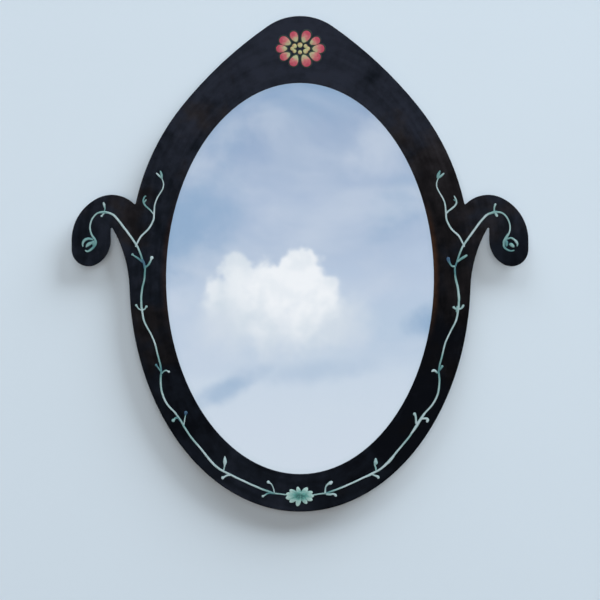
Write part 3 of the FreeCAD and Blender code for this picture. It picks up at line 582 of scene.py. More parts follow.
def silvered_glass():
    material, place = start_finish("silvered_glass", Metallic=1.0)
    dust = noise(place, 420, detail=4, roughness=0.7)
    wiped = noise(vector("MULTIPLY", place, (1, 1, 0.25)), 26, detail=3)
    # Painted shade: the glass darkens just inside the opening, under the sheet's edge.
    rim = fade(round_the_opening(place), 0.955, 1.0)
    haze = product(dust, fade(wiped, 0.4, 0.8, 0.15, 0.6))
    # The darker colour is dust haze over the glass and painted shade along the rim.
    colour = tint(calc("MAXIMUM", rim, haze), (0.955, 0.965, 0.975), (0.90, 0.93, 0.935))
    return cover(material, colour, fade(haze, 0.0, 0.6, 0.012, 0.05))


dress(silvered_glass(), "mirror_glass")

# %% [markdown]
# ## Finishes behind the sheet
# The hoop and the lugs are blackened like the sheet but never waxed, so they are greyer, with a little
# brown bloom where the air got at the steel. They could share the sheet's finish, but that one is laid out
# round the opening. Two sizes of plain noise are enough here: a broad one for the grey, a fine one for
# spots of bloom.

# %% Dull steel


def dull_steel():
    material, place = start_finish("dull_steel", Specular_IOR_Level=0.3)
    cloud = noise(place, 45, detail=5, roughness=0.65)
    bloom = noise(place, 210, detail=4, roughness=0.7)
    greys = (0.32, (0.010, 0.010, 0.011)), (0.55, (0.022, 0.021, 0.023)), (0.74, (0.036, 0.034, 0.035))
    colour = ramp(cloud, *greys)
    colour = tint(fade(bloom, 0.56, 0.72, 0.0, 0.7), colour, (0.052, 0.028, 0.016))
    scratches = noise(vector("MULTIPLY", place, (1, 14, 1)), 240, detail=3)
    return cover(material, colour, rough(bloom, 0.42, 0.68), relief(scratches, 0.12 * MM, 0.5))


dress(dull_steel(), "back_hoop", "button_lugs", "bumper_lugs", "hanger_lugs")

# %% [markdown]
# Between steel and glass lies felt, and behind the glass brown corrugated card. Little of them shows until
# the back is opened. Felt is matted fibre. Hairs could be grown for it, at a great cost, so strongly
# distorted noise and some sheen stand for them. The flutes of the card show through its paper as stripes,
# and a sine draws those.

# %% Felt and card


def charcoal_felt():
    material, place = start_finish("charcoal_felt", Roughness=0.95, Sheen_Weight=0.4)
    fibres = noise(place, 900, detail=5, roughness=0.75, distortion=1.5)
    colour = ramp(fibres, (0.3, (0.010, 0.010, 0.011)), (0.7, (0.050, 0.050, 0.054)))
    return cover(material, colour, normal=relief(fibres, 0.4 * MM))


FLUTE = 6.5 * MM


def corrugated_card():
    material, place = start_finish("corrugated_card", Roughness=0.88)
    x = axes(place)[0]
    flutes = calc("SINE", product(x, 2 * math.pi / FLUTE))
    pulp = noise(place, 380, detail=5, roughness=0.7)
    colour = ramp(pulp, (0.3, (0.33, 0.22, 0.12)), (0.7, (0.50, 0.36, 0.22)))
    colour = tint(fade(flutes, 0.2, 1.0, 0.0, 0.25), colour, (0.25, 0.16, 0.085))
    return cover(material, colour, normal=relief(flutes, 0.3 * MM, 0.4))


dress(charcoal_felt(), "felt_strip")
dress(corrugated_card(), "packing_sheet")

# %% [markdown]
# Hardboard, which closes the back, is pressed from wood fibre. Noise alone looks like cloud, and noise
# stretched one way looks like planed wood. The fibres lie every way, so stretched noise is turned four
# ways, and the brightest of the four wins at each point.

# %% Hardboard
FIBRE_TURNS = (0.3, 1.1, 1.9, 2.7)


def pressed_hardboard():
    material, place = start_finish("pressed_hardboard", Specular_IOR_Level=0.35)
    fibre = None
    for turn in FIBRE_TURNS:
        spin = {"Vector": place, "Angle": turn, "Axis": (0, 1, 0)}
        turned = put(material.node_tree, "ShaderNodeVectorRotate", spin)
        streak = vector("MULTIPLY", turned, (0.16, 1, 1))
        lay = noise(streak, 1800 + 140 * turn, detail=3, roughness=0.6, distortion=0.6)
        fibre = lay if fibre is None else calc("MAXIMUM", fibre, lay)
    fleck = noise(place, 260, detail=3, roughness=0.8)
    broad = noise(place, 9, detail=3)
    browns = (0.50, (0.145, 0.076, 0.036)), (0.62, (0.180, 0.097, 0.046)), (0.78, (0.245, 0.142, 0.074))
    colour = ramp(fibre, *browns)
    colour = tint(fade(fleck, 0.62, 0.70, 0.0, 0.75), colour, (0.075, 0.036, 0.018))
    colour = tint(fade(broad, 0.35, 0.75, 0.0, 0.35), colour, (0.185, 0.098, 0.046))
    return cover(material, colour, rough(broad, 0.40, 0.56), relief(fibre, 0.15 * MM, 0.5))


dress(pressed_hardboard(), "backing_board")

# %% [markdown]
# ## Plated metal and rubber
# Screws, washers and turn buttons are zinc plated: bright, slightly blue and uneven, because the crystals
# of the coating grow in patches. Noise would blur the patches into each other, so they are Voronoi cells,
# which have edges. Metal shows the colour of what it reflects, so most of the variety has to come from
# roughness.

# %% Zinc


def zinc_plate():
    material, place = start_finish("zinc_plate", Metallic=1.0)
    cells = add(material.node_tree, "ShaderNodeTexVoronoi", {"Vector": place, "Scale": 620})
    patch = axes(cells.outputs["Color"])[0]
    haze = noise(place, 160, detail=4, roughness=0.65)
    colour = tint(patch, (0.50, 0.52, 0.55), (0.64, 0.64, 0.63))
    colour = tint(fade(haze, 0.5, 0.75, 0.0, 0.5), colour, (0.40, 0.385, 0.35))
    rubbed = noise(vector("MULTIPLY", place, (1, 1, 6)), 900, detail=2)
    dullness = total(rough(haze, 0.34, 0.50), product(patch, 0.08))
    return cover(material, colour, dullness, relief(rubbed, 0.03 * MM, 0.5))


turn_buttons = [name for name in nodes if name.startswith("turn_button_")]
dress(zinc_plate(), "button_washers", "button_screws", "bumper_screws", *turn_buttons)

# %% [markdown]
# The hangers are nickel plated, warmer and more even, with fine lines: along the strap from rolling, and
# shorter on the ring, which was drawn as wire. An anisotropic reflection could stand for the lines, but it
# needs a direction on every face. Stretched noise that bends the normal a little needs none. The rivets are
# plain aluminium, duller and whiter.

# %% Nickel and aluminium


def nickel_plate(name, stretch):
    material, place = start_finish(name, Metallic=1.0)
    lines = noise(vector("MULTIPLY", place, stretch), 1500, detail=3, roughness=0.6)
    haze = noise(place, 120, detail=4)
    colour = tint(haze, (0.66, 0.62, 0.56), (0.56, 0.53, 0.49))
    colour = tint(fade(lines, 0.35, 0.7, 0.0, 0.4), colour, (0.44, 0.42, 0.39))
    return cover(material, colour, rough(lines, 0.20, 0.36), relief(lines, 0.02 * MM, 0.5))


def plain_aluminium():
    material, place = start_finish("plain_aluminium", Metallic=1.0)
    dull = noise(place, 520, detail=4, roughness=0.65)
    colour = ramp(dull, (0.3, (0.50, 0.50, 0.51)), (0.7, (0.70, 0.70, 0.71)))
    return cover(material, colour, rough(dull, 0.30, 0.46), relief(dull, 0.03 * MM, 0.5))


dress(nickel_plate("rolled_nickel", (8, 1, 0.3)), "hanger_strap_right", "hanger_strap_left")
dress(nickel_plate("drawn_nickel", (1, 1, 1)), "hanger_ring_right", "hanger_ring_left")
dress(plain_aluminium(), "hanger_rivets")

# %% [markdown]
# Rubber is black, matt and collects dust. Dust could be a second shader mixed in by noise. It is as dull as
# the rubber itself, so a paler colour is enough. The blocks that carry the glass are out of the way and
# nearly clean, the bumpers that touch the wall are not.

# %% Rubber


def black_rubber(name, dusty):
    material, place = start_finish(name, Specular_IOR_Level=0.3)
    dust = noise(place, 330, detail=5, roughness=0.7)
    colour = tint(fade(dust, 0.45, 0.75, 0.0, dusty), (0.016, 0.016, 0.017), (0.11, 0.105, 0.098))
    return cover(material, colour, rough(dust, 0.58, 0.82), relief(dust, 0.1 * MM, 0.4))


dress(black_rubber("setting_rubber", 0.25), "setting_blocks")
dress(black_rubber("foot_rubber", 0.6), "wall_bumpers")

# %% [markdown]
# ## How a brush stroke is built
# The vine is enamel laid on with a small brush. Each stroke stands a few tenths of a millimetre proud and
# swells and thins as the brush is pressed and lifted. Such a line could be a curve with a round bevel, but
# then it would be a wire. Here a tree of Geometry Nodes sweeps a flat oval along the stroke, scaled at each
# point by the width that is stored there.
#
# The rosettes and the welds further on are trees too, so two functions open and close a tree for all of
# them. The first gives it named inputs, whose kind follows from their values. The second makes plain mesh
# with a material come out.

# %% Functions that open and close a tree
SOCKET_KINDS = {float: "NodeSocketFloat", int: "NodeSocketInt", type(None): "NodeSocketMaterial"}


def start_tree(name, inputs):
    tree = bpy.data.node_groups.new(name, "GeometryNodeTree")
    tree.interface.new_socket("Geometry", in_out="INPUT", socket_type="NodeSocketGeometry")
    tree.interface.new_socket("Geometry", in_out="OUTPUT", socket_type="NodeSocketGeometry")
    for label, value in inputs.items():
        socket = tree.interface.new_socket(label, in_out="INPUT", socket_type=SOCKET_KINDS[type(value)])
        if value is not None:
            socket.default_value = value
    return tree, add(tree, "NodeGroupInput").outputs


def end_tree(geometry, material):
    tree = geometry.id_data
    real = put(tree, "GeometryNodeRealizeInstances", {"Geometry": geometry})
    smooth = put(tree, "GeometryNodeSetShadeSmooth", {"Geometry": real})
    painted = put(tree, "GeometryNodeSetMaterial", {"Geometry": smooth, "Material": material})
    add(tree, "NodeGroupOutput", {"Geometry": painted})
    return tree


print("functions that open and close a tree")

# %% [markdown]
# Inside a tree there are a few things to do again and again: read and store attributes, draw a chance, move
# geometry, and stand a flat drawing up against the sheet. All could be written out as nodes each time. As
# functions they are one word each.

# %% Functions for geometry trees


def named(tree, label):
    return put(tree, "GeometryNodeInputNamedAttribute", {"Name": label})


def position(tree):
    return put(tree, "GeometryNodeInputPosition")


def chance(tree, least, most, seed):
    return add(tree, "FunctionNodeRandomValue", {2: least, 3: most, "Seed": seed}).outputs[1]


def store(geometry, label, value):
    sockets = {"Geometry": geometry, "Name": label, "Value": value}
    return put(geometry.id_data, "GeometryNodeStoreNamedAttribute", sockets)


def move(geometry, **sockets):
    return put(geometry.id_data, "GeometryNodeSetPosition", {"Geometry": geometry, **sockets})


def transform(geometry, **sockets):
    return put(geometry.id_data, "GeometryNodeTransform", {"Geometry": geometry, **sockets})


def stand_up(geometry, depth, height=0.0):
    return transform(geometry, Translation=join_axes(0.0, depth, height), Rotation=(math.radians(90), 0, 0))


print("functions for geometry trees")

# %% [markdown]
# The strokes are drawn flat, with X to the right and Y up the sheet. The painter worked both sides alike
# but not the same. The tree therefore takes strokes for both sides, for the right and for the left, deletes
# what doesn't belong on a side, and turns the left over. A Catmull-Rom spline passes through every point
# drawn. A NURBS curve would cut the corners, and a Bezier curve would need handles. Noise then bends it a
# little, as an unsteady hand does.

# %% Hand that draws


def without(curve, others):
    return put(curve.id_data, "GeometryNodeDeleteGeometry", {0: curve, 1: others}, domain="CURVE")


def drawn_line(tree, given):
    curve = put(tree, "GeometryNodeMeshToCurve", {"Mesh": given["Geometry"]})
    side = named(tree, "side")
    right = without(curve, calc("LESS_THAN", side, -0.5))
    left = without(curve, calc("GREATER_THAN", side, 0.5))
    both = add(tree, "GeometryNodeJoinGeometry", {0: right})
    tree.links.new(transform(left, Scale=(-1, 1, 1)), both.inputs[0])
    smooth = put(tree, "GeometryNodeCurveSplineType", {0: both.outputs[0]}, spline_type="CATMULL_ROM")
    fine = put(tree, "GeometryNodeResampleCurve", {0: smooth, "Length": given["Step"]}, mode="LENGTH")
    tremor = {"W": given["Seed"], "Scale": given["Wobble Scale"]}
    shake = add(tree, "ShaderNodeTexNoise", tremor, noise_dimensions="4D").outputs["Color"]
    centred = vector("SUBTRACT", shake, (0.5, 0.5, 0.5))
    in_plane = join_axes(given["Wobble"], given["Wobble"], 0.0)
    return move(fine, Offset=vector("MULTIPLY", centred, in_plane))


print("hand ready")

# %% [markdown]
# The brush is a circle of twelve points pressed flat. Its ends could be capped as they are, but they would
# be cut square, so near both ends the width follows the formula of a circle. The tree also stores how far
# along and across the stroke each point lies, for the paint to read.

# %% Brush stroke tree
STROKE_INPUTS = {
    "Step": 0.5 * MM,
    "Wobble": 1.0 * MM,
    "Wobble Scale": 70.0,
    "Flatness": 0.14,
    "Seed": 3.0,
    "Sheet Front": SHEET_FRONT,
    "Paint": None,
}
BRUSH_POINTS = 12
FULL_WIDTH, BLUNT_END = 0.97, 0.08


def pressed_brush(tree, given):
    circle = put(tree, "GeometryNodeCurvePrimitiveCircle", {"Resolution": BRUSH_POINTS, "Radius": 1.0})
    circle = store(circle, "across", axes(position(tree))[0])
    return transform(circle, Scale=join_axes(1.0, given["Flatness"], 1.0))


def half_width(tree, along):
    half = product(named(tree, "width"), 0.5)
    to_go = minus(add(tree, "GeometryNodeSplineLength").outputs["Length"], along)
    near_end = calc("DIVIDE", calc("MINIMUM", along, to_go), half)
    inside = minus(1.0, calc("MINIMUM", near_end, FULL_WIDTH))
    round_end = calc("SQRT", minus(1.0, product(inside, inside)))
    return product(half, calc("MAXIMUM", round_end, BLUNT_END))


def stroke_tree():
    tree, given = start_tree("brush_stroke", STROKE_INPUTS)
    along = add(tree, "GeometryNodeSplineParameter").outputs["Length"]
    line = store(drawn_line(tree, given), "along", along)
    sweep = {"Curve": line, "Profile Curve": pressed_brush(tree, given), "Scale": half_width(tree, along)}
    swept = put(tree, "GeometryNodeCurveToMesh", {**sweep, "Fill Caps": True})
    return end_tree(stand_up(swept, given["Sheet Front"]), given["Paint"])


brush_stroke = stroke_tree()
print(f"{brush_stroke.name}: {len(brush_stroke.nodes)} nodes")

# %% [markdown]
# A tree becomes a piece when an object carries it as a modifier. The inputs are set by their identifiers,
# the result is taken as a plain mesh, and the modifier goes, because what is kept of the mirror is meshes.
# The piece is then told which body it rides on.

# %% From tree to piece


def grow(name, base, tree, body, slot, **settings):
    obj = into_scene(name, base)
    modifier = obj.modifiers.new("grow", "NODES")
    modifier.node_group = tree
    for item in tree.interface.items_tree:
        label = item.name.replace(" ", "_").lower()
        if item.in_out == "INPUT" and label in settings:
            modifier[item.identifier] = settings[label]
    graph = bpy.context.evaluated_depsgraph_get()
    mesh = bpy.data.meshes.new_from_object(obj.evaluated_get(graph), depsgraph=graph)
    obj.modifiers.clear()
    obj.data = mesh
    mesh.name = name
    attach(obj, body)
    size = [round(1000 * d, 1) for d in obj.dimensions]
    print(f"{name}: {len(mesh.polygons)} faces, {size} mm")
    return obj


print("pieces can grow")

# %% [markdown]
# ## The vine
# The vine rises from the foot up each side, forks below the arm, and ends in a curled leaf on the arm and
# in a small fork above. At every joint it carries a pair of buds on thin stalks. This is common ornament on
# painted furniture. Its lines could be one long row of points, but a painter works from joint to joint, and
# so does this lesson. A joint has a place: millimetres out from the middle line and up from the line of the
# hooks. A stroke names its joint, and its points are steps away from there.
#
# A stroke also tells in words how the brush was loaded from start to end, pale to night blue, and how wide
# it was pressed, in millimetres. The stem is the same on both sides, and on the right the brush went over
# it again here and there.

# %% Joints and stem of the vine
JOINTS = {
    "tip": (170, -55),
    "elbow": (240, -97),
    "spur": (179.5, -99),
    "curl": (252.5, -130),
    "fork": (201, -138),
    "arm": (191, -164),
    "side": (195, -216),
    "flank": (171, -294),
    "low": (143, -359),
    "heel": (90, -418),
    "end": (31, -443),
}
STEM = (
    ("arm", "deep pale pale sage mint sage", (2.0, 2.5, 2.7, 2.5, 2.0, 1.9, 2.7),
     [(0, 0), (5, 15), (10, 26), (21, 42), (34, 59), (41, 65), (50.5, 67.5), (59, 65.5), (65, 58), (67.5, 48),
      (65.5, 40), (61.5, 34)]),
    ("fork", "pale pale pale mint", (2.2, 2.2, 1.6, 1.4),
     [(1.5, -1.5), (-5, 11), (-14.5, 20.5), (-20.5, 31.5), (-21.5, 41), (-22.5, 51), (-25.5, 59), (-31.5, 69),
      (-33, 76.5), (-30.5, 84)]),
    ("arm", "deep mint", (2.4, 2.2, 2.8),
     [(0, 2.5), (-0.5, -2), (0.5, -14), (3, -26), (4.5, -38), (4, -51.5)]),
    ("side", "mint pale deep", (2.6, 2.0, 2.1, 2.3),
     [(0, 3), (-3, -14), (-10.5, -29), (-16, -41), (-19.5, -55), (-23, -68), (-24.5, -78.5)]),
    ("flank", "deep mint pale mint teal", (2.3, 2.4, 2.2, 2.6),
     [(-0.5, 3), (0.5, -11), (-1.5, -26), (-8, -39.5), (-18, -50.5), (-25.5, -61.5), (-28.5, -67.5)]),
    ("low", "sage pale pale", (2.4, 2.3, 2.9, 2.4),
     [(0.5, -0.5), (-8.5, -14), (-21, -29), (-33.5, -44.5), (-43.5, -53.5), (-55.5, -60)]),
    ("heel", "pale pale mint deep", (2.4, 2.2), [(-0.5, 0), (-22.5, -10.5), (-42, -19), (-59.5, -25)]),
    ("end", "sage mint", (2.0, 1.5), [(1, 0.5), (-6.5, -0.5), (-17.5, -2)]),
)
STEM_RIGHT = (
    ("arm", "teal mint mint", (1.6, 2.6, 2.8, 3.0, 1.8),
     [(-0.5, -5), (0.5, -14), (3, -26), (4.5, -38), (4.5, -45)]),
    ("low", "pale", (1.6, 2.8, 3.4, 3.6, 3.2, 1.8),
     [(13.5, 18.5), (9, 13), (5, 7), (1, 0.5), (-2.5, -5), (-7.5, -12.5)]),
    ("heel", "pale", (1.8, 3.4, 3.4, 1.8), [(28, 25), (23, 18.5), (18, 13), (13, 9)]),
    ("heel", "pale", (1.8, 2.8, 3.0, 1.8), [(6.5, 4), (0.5, 0.5), (-5, -2.5), (-12, -5.5)]),
)
print(f"{len(JOINTS)} joints, {len(STEM)} stem strokes, and {len(STEM_RIGHT)} more on the right")

# %% [markdown]
# Leaves and buds grow from the joints. The painter drew them afresh on each side, so there are two lists.
# On the left, a bud ends in a round dab, where the brush was set down. A dab could be a ball of its own,
# but then it would meet its stalk at an edge. It is the end of the stroke: the last step is the middle of
# the dab, the last width is how wide it is, and a small function further on adds the points that make it
# round.

# %% Leaves and buds on the left
LEAVES_LEFT = (
    ("curl", "sage teal sage", (2.2, 3.2, 3.0, 1.6),
     [(3, 4), (0, 0), (-1, -4.5), (1, -9), (5, -13), (9, -15), (12, -13.5)]),
    ("curl", "teal sage sage", (2.2, 3.8, 2.8, 1.0),
     [(2, -0.5), (7.5, 0.5), (12, -1), (14.5, -4), (15, -7), (14.5, -9.5)]),
    ("curl", "teal sage sage", (2.4, 4.2, 3.8, 1.2), [(1.5, -3), (6, -5.5), (9, -7.5), (11, -10)]),
    ("curl", "teal", (2.6, 4.0, 2.2), [(2.5, -1.5), (1.5, -4.5), (2.5, -8)]),
    ("tip", "sage teal", (1.4, 3.0, 1.4), [(0, -1), (0.5, 4), (2, 9.5)]),
    ("tip", "sage pale", (1.4, 2.4, 1.4), [(0.5, 0), (3.5, 3), (7, 6.5)]),
    ("spur", "mint teal teal", (1.3, 2.0, 2.2, 1.1),
     [(0.5, -0.5), (5, 5), (11, 10.5), (13.5, 16), (11.5, 21.5), (9.5, 22)]),
    ("spur", "teal sage", (1.4, 2.0, 1.2), [(13, 13.5), (11, 16), (9.5, 18)]),
    ("elbow", "teal sage pale pale", (1.6, 1.4, 2.4, 3.0, 1.8),
     [(1, 0.5), (0, 4.5), (0.5, 7), (1, 9.5), (2, 12.5)]),
    ("elbow", "teal", (1.6, 3.0, 1.6), [(-3.5, -1), (0.5, 0), (6, -0.5)]),
    ("arm", "night deep", (2.0, 3.0, 2.2), [(3.5, 10), (1, 4), (0, -2.5)]),
    ("heel", "mint pale", (1.6, 2.0, 4.6, 3.8, 0.8), [(4, 3.5), (3, 9), (2.5, 13.5), (2.5, 17), (2.5, 21)]),
)
BUDS_LEFT = (
    ("elbow", "sage pale", (2.0, 2.0, 2.8), [(0, 0), (2, -2), (4, -4.5)]),
    ("arm", "night sage", (2.2, 2.4, 3.2), [(2.5, 5.5), (8.5, 10.5), (15, 15)]),
    ("arm", "deep pale", (2.4, 2.4, 2.4, 4.4), [(-0.5, -1), (-4.5, 2.5), (-7, 7), (-8.5, 11)]),
    ("side", "mint", (2.0, 1.7, 3.2), [(-0.5, -1.5), (3.5, 0.5), (6.5, 4.5)]),
    ("side", "mint", (2.0, 1.7, 3.2), [(-0.5, -1.5), (-4, 0), (-6, 3)]),
    ("flank", "teal deep", (1.8, 2.0, 3.2), [(0, 1), (3, 5), (6, 9)]),
    ("flank", "teal pale", (1.6, 1.6, 1.9, 3.0), [(-0.5, -2), (-3.5, 1.5), (-6.5, 2.5), (-9.5, 1)]),
    ("low", "deep deep sage", (2.0, 2.4, 2.4, 4.4), [(3.5, 4), (6.5, 8.5), (10, 9), (13, 6)]),
    ("low", "mint pale night", (1.6, 1.5, 1.6, 4.4), [(0, 0), (-1, 7), (-2, 11.5), (-2.5, 15.5)]),
    ("heel", "pale", (2.0, 2.4, 4.2), [(-5.5, -2.5), (-0.5, -2.5), (5, -5.5)]),
    ("end", "mint pale", (1.4, 1.3, 1.4, 4.0), [(0.5, 0.5), (1.5, 6), (4, 11.5), (8, 14)]),
    ("end", "deep deep mint", (2.2, 2.2, 3.4), [(0, 0), (7.5, 0.5), (14.5, -3)]),
)
print(f"{len(LEAVES_LEFT)} leaves and {len(BUDS_LEFT)} buds on the left")

# %% [markdown]
# On the right most buds are short curved strokes, and the leaf on the arm is rounder. Turning the left ones
# over would save this list, but a painted pair is never a mirror image, and the eye finds a copy at once.

# %% Leaves and buds on the right
LEAVES_RIGHT = (
    ("curl", "sage sage teal teal", (2.2, 3.0, 2.6, 1.6),
     [(4, 7), (1, 2.5), (-1.5, -2), (-2, -5.5), (-1, -10), (2.5, -13), (7, -14.5), (11.5, -13.5)]),
    ("curl", "teal sage mint sage", (2.4, 2.2, 3.0, 1.2),
     [(0, -0.5), (4, 1), (7.5, 1.5), (11, -0.5), (14, -3.5), (15, -6.5), (14.5, -9)]),
    ("curl", "teal", (3.0, 4.2, 2.4), [(-0.5, -1), (1.5, -4), (1.5, -9)]),
    ("curl", "teal sage sage", (2.4, 4.6, 4.0, 2.0), [(4.5, -6), (7, -6.5), (9.5, -8.5), (11, -10)]),
    ("elbow", "sage pale", (2.0, 2.0, 2.6, 2.2), [(-1, 1), (-1, 6), (0, 9), (1, 11)]),
    ("elbow", "sage mint", (2.6, 3.4, 2.8), [(-0.5, 0.5), (1.5, -3), (3, -5.5)]),
    ("elbow", "sage", (2.4, 3.0, 3.0, 2.2), [(-9, -2.5), (-5, -1), (0, 0.5), (4.5, 0)]),
    ("tip", "teal", (2.2, 3.8, 1.6), [(-1, -0.5), (0, 4), (2.5, 9.5)]),
    ("tip", "teal mint", (2.2, 3.0, 1.6), [(-0.5, 0), (3, 2.5), (7.5, 6.5)]),
    ("spur", "pale mint", (2.0, 2.2, 2.2, 1.4),
     [(0, 0), (3, 3.5), (7, 6.5), (11, 10), (13, 13.5), (12.5, 17.5), (10, 22.5)]),
    ("spur", "teal", (1.6, 1.2), [(12, 16), (9.5, 18)]),
    ("arm", "mint deep night", (2.6, 2.2, 2.4, 4.2, 4.4),
     [(0, 0.5), (-4, 1), (-6.5, 4), (-8.5, 8.5), (-9, 12)]),
    ("arm", "sage teal sage", (2.6, 3.0, 3.2, 2.6), [(2, 6), (5.5, 8.5), (10, 11.5), (15, 14.5)]),
    ("side", "sage mint", (2.4, 2.6, 3.6), [(-2.5, -0.5), (-4.5, 1), (-7, 3)]),
    ("side", "mint", (2.0, 2.4, 3.0, 2.0), [(0, -0.5), (3.5, 1), (5.5, 3.5), (6.5, 5.5)]),
    ("side", "sage", (3.2, 3.6, 2.8), [(-0.5, 4), (-1.5, 0.5), (-2, -4.5)]),
    ("flank", "deep sage", (2.2, 2.6, 4.0), [(0.5, 2.5), (3, 6), (4.5, 9)]),
    ("flank", "teal pale pale", (2.0, 2.6, 3.4, 1.6), [(-1.5, -1), (-4, 1.5), (-6.5, 2.5), (-9.5, 1)]),
    ("low", "pale mint", (2.8, 2.4, 2.8, 5.0), [(0, 1.5), (-0.5, 7), (-1, 11.5), (-3, 15.5)]),
    ("low", "pale", (2.4, 2.4, 3.2, 3.6, 2.8), [(6, 8), (10, 8.5), (13.5, 8), (14, 6), (12.5, 3.5)]),
    ("heel", "sage sage mint", (2.4, 2.2, 2.4, 5.4, 3.6, 1.6),
     [(3.5, 3), (3, 7), (2, 10), (3, 13), (3, 16), (3, 19)]),
    ("heel", "mint pale", (2.2, 2.2, 3.4, 3.0), [(-1.5, -1.5), (2.5, -3), (6, -4.5), (6, -7)]),
    ("end", "mint pale", (3.0, 1.8, 1.8, 2.8, 4.6, 2.6),
     [(0, 0), (0, 5), (1, 9), (4, 12), (6.5, 13), (9, 15)]),
    ("end", "mint pale", (3.0, 2.8, 2.6, 3.2, 3.4),
     [(0.5, -0.5), (6, -1), (10, -0.5), (12.5, -2), (13.5, -4)]),
)
print(f"{len(LEAVES_RIGHT)} leaves and buds on the right")

# %% [markdown]
# A stroke has fewer words and widths than points, so both are spread evenly along it. They could be written
# out for every point, but a brush changes slowly, and a few are enough to say how.

# %% From words to points
TONES = {"pale": 0.05, "mint": 0.15, "sage": 0.30, "teal": 0.45, "deep": 0.60, "night": 0.75}
DAB_NECK = 0.55


def spread(values, count):
    last = len(values) - 1
    spots = [i * last / (count - 1) for i in range(count)]
    return [values[int(s)] + (values[min(int(s) + 1, last)] - values[int(s)]) * (s % 1) for s in spots]


def drawn(joint, tones, widths, steps):
    out, up = JOINTS[joint]
    row = [(out + aside, up + rise) for aside, rise in steps]
    return row, spread(widths, len(row)), spread([TONES[tone] for tone in tones.split()], len(row))


def with_dab(row, widths, tones):
    (near_out, near_up), (out, up) = row[-2:]
    dab = widths[-1]
    reach = dab / 2 / math.dist(row[-2], row[-1])
    aside, rise = (out - near_out) * reach, (up - near_up) * reach
    row = [*row[:-1], (out - aside, up - rise), (out, up), (out + aside, up + rise)]
    return row, [*widths[:-1], dab * DAB_NECK, dab, dab], [*tones, tones[-1], tones[-1]]


print(f"the first stem stroke has {len(drawn(*STEM[0])[0])} points")

# %% [markdown]
# The tree starts from a mesh without faces: a chain of points for each stroke, with its width, its tone and
# its side stored as attributes. Side 0 is painted on both sides, 1 only on the right and -1 only on the
# left. A curve object could hold the chains too, but a mesh takes any attribute by name.

# %% Sketch meshes
BOTH, RIGHT, LEFT = 0.0, 1.0, -1.0


def chain_mesh(name, chains):
    points, edges = [], []
    for chain in chains:
        first = len(points)
        points += chain
        edges += [(i, i + 1) for i in range(first, len(points) - 1)]
    mesh = bpy.data.meshes.new(name)
    mesh.from_pydata(points, edges, [])
    print(f"{name}: {len(points)} points")
    return mesh


def stroke_sketch(name, strokes):
    chains, widths, tones, sides = [], [], [], []
    for side, (row, row_widths, row_tones) in strokes:
        chains.append([(out * MM, up * MM, 0) for out, up in row])
        widths += [width * MM for width in row_widths]
        tones += row_tones
        sides += [side] * len(row)
    mesh = chain_mesh(name, chains)
    for label, values in (("width", widths), ("tone", tones), ("side", sides)):
        mesh.attributes.new(label, "FLOAT", "POINT").data.foreach_set("value", values)
    return mesh


def on_side(side, strokes):
    return [(side, drawn(*stroke)) for stroke in strokes]


dabs = [(LEFT, with_dab(*drawn(*stroke))) for stroke in BUDS_LEFT]
stem_sketch = stroke_sketch("vine_stem", on_side(BOTH, STEM) + on_side(RIGHT, STEM_RIGHT))
bud_sketch = stroke_sketch("vine_buds", on_side(LEFT, LEAVES_LEFT) + dabs + on_side(RIGHT, LEAVES_RIGHT))

# %% [markdown]
# The paint is never one colour: mint was loaded over teal, and the bristles leave streaks that run with the
# stroke. Noise in Object coordinates can't follow a bend, so it is read in the stroke's own coordinates,
# quick across and slow along, and shifts the tone. Towards both edges the paint is thinner and teal comes
# through.

# %% Enamel of the vine
MINT, SAGE = (0.40, 0.50, 0.54), (0.185, 0.335, 0.335)
TEAL, NIGHT = (0.046, 0.18, 0.182), (0.018, 0.065, 0.135)


def read(material, label):
    return add(material.node_tree, "ShaderNodeAttribute", attribute_name=label).outputs["Fac"]


def vine_enamel():
    material, place = start_finish("vine_enamel", Specular_IOR_Level=0.4)
    across, along, tone = (read(material, label) for label in ("across", "along", "tone"))
    bristles = join_axes(product(across, 1.6), product(along, 90.0), tone)
    streak = noise(bristles, 1.4, detail=3, roughness=0.6)
    blotch = noise(place, 85, detail=3)
    edge = fade(calc("ABSOLUTE", across), 0.45, 1.0, 0.0, 0.20)
    shade = total(tone, edge, swing(streak, 0.30), swing(blotch, 0.45))
    colour = ramp(shade, (0.0, MINT), (0.28, SAGE), (0.56, TEAL), (0.80, NIGHT))
    return cover(material, colour, rough(streak, 0.34, 0.52), relief(streak, 0.1 * MM, 0.7))


mint = vine_enamel()
grow("vine_stem", stem_sketch, brush_stroke, "frame", "vine_paint", paint=mint)
grow("vine_buds", bud_sketch, brush_stroke, "frame", "vine_paint", paint=mint, seed=8.0, wobble=0.7 * MM)

# %% [markdown]
# ## Rosettes
# A painted rosette fills the crown, and a smaller one joins the two vines at the foot. A rosette is a ring
# of petals round a cluster of dots, so it is one more tree: points on an oval, a petal on each, turned
# outwards, with a little chance in its size. A petal is a ball pressed flat and narrowed towards its root.
# It stores how far from the root each point lies, so the paint can run from a pale root to a deep tip.

# %% Rosette tree
ROSETTE_INPUTS = {
    "Petals": 10,
    "Ring Width": 22 * MM,
    "Ring Height": 15 * MM,
    "Petal Width": 12 * MM,
    "Petal Length": 15 * MM,
    "Root": 0.55,
    "Rise": 0.3 * MM,
    "Chance": 0.1,
    "Seed": 4,
    "Middle Height": 0.0,
    "Sheet Front": SHEET_FRONT,
    "Paint": None,
}
PETAL_BALL = {"Segments": 20, "Rings": 12, "Radius": 1.0}


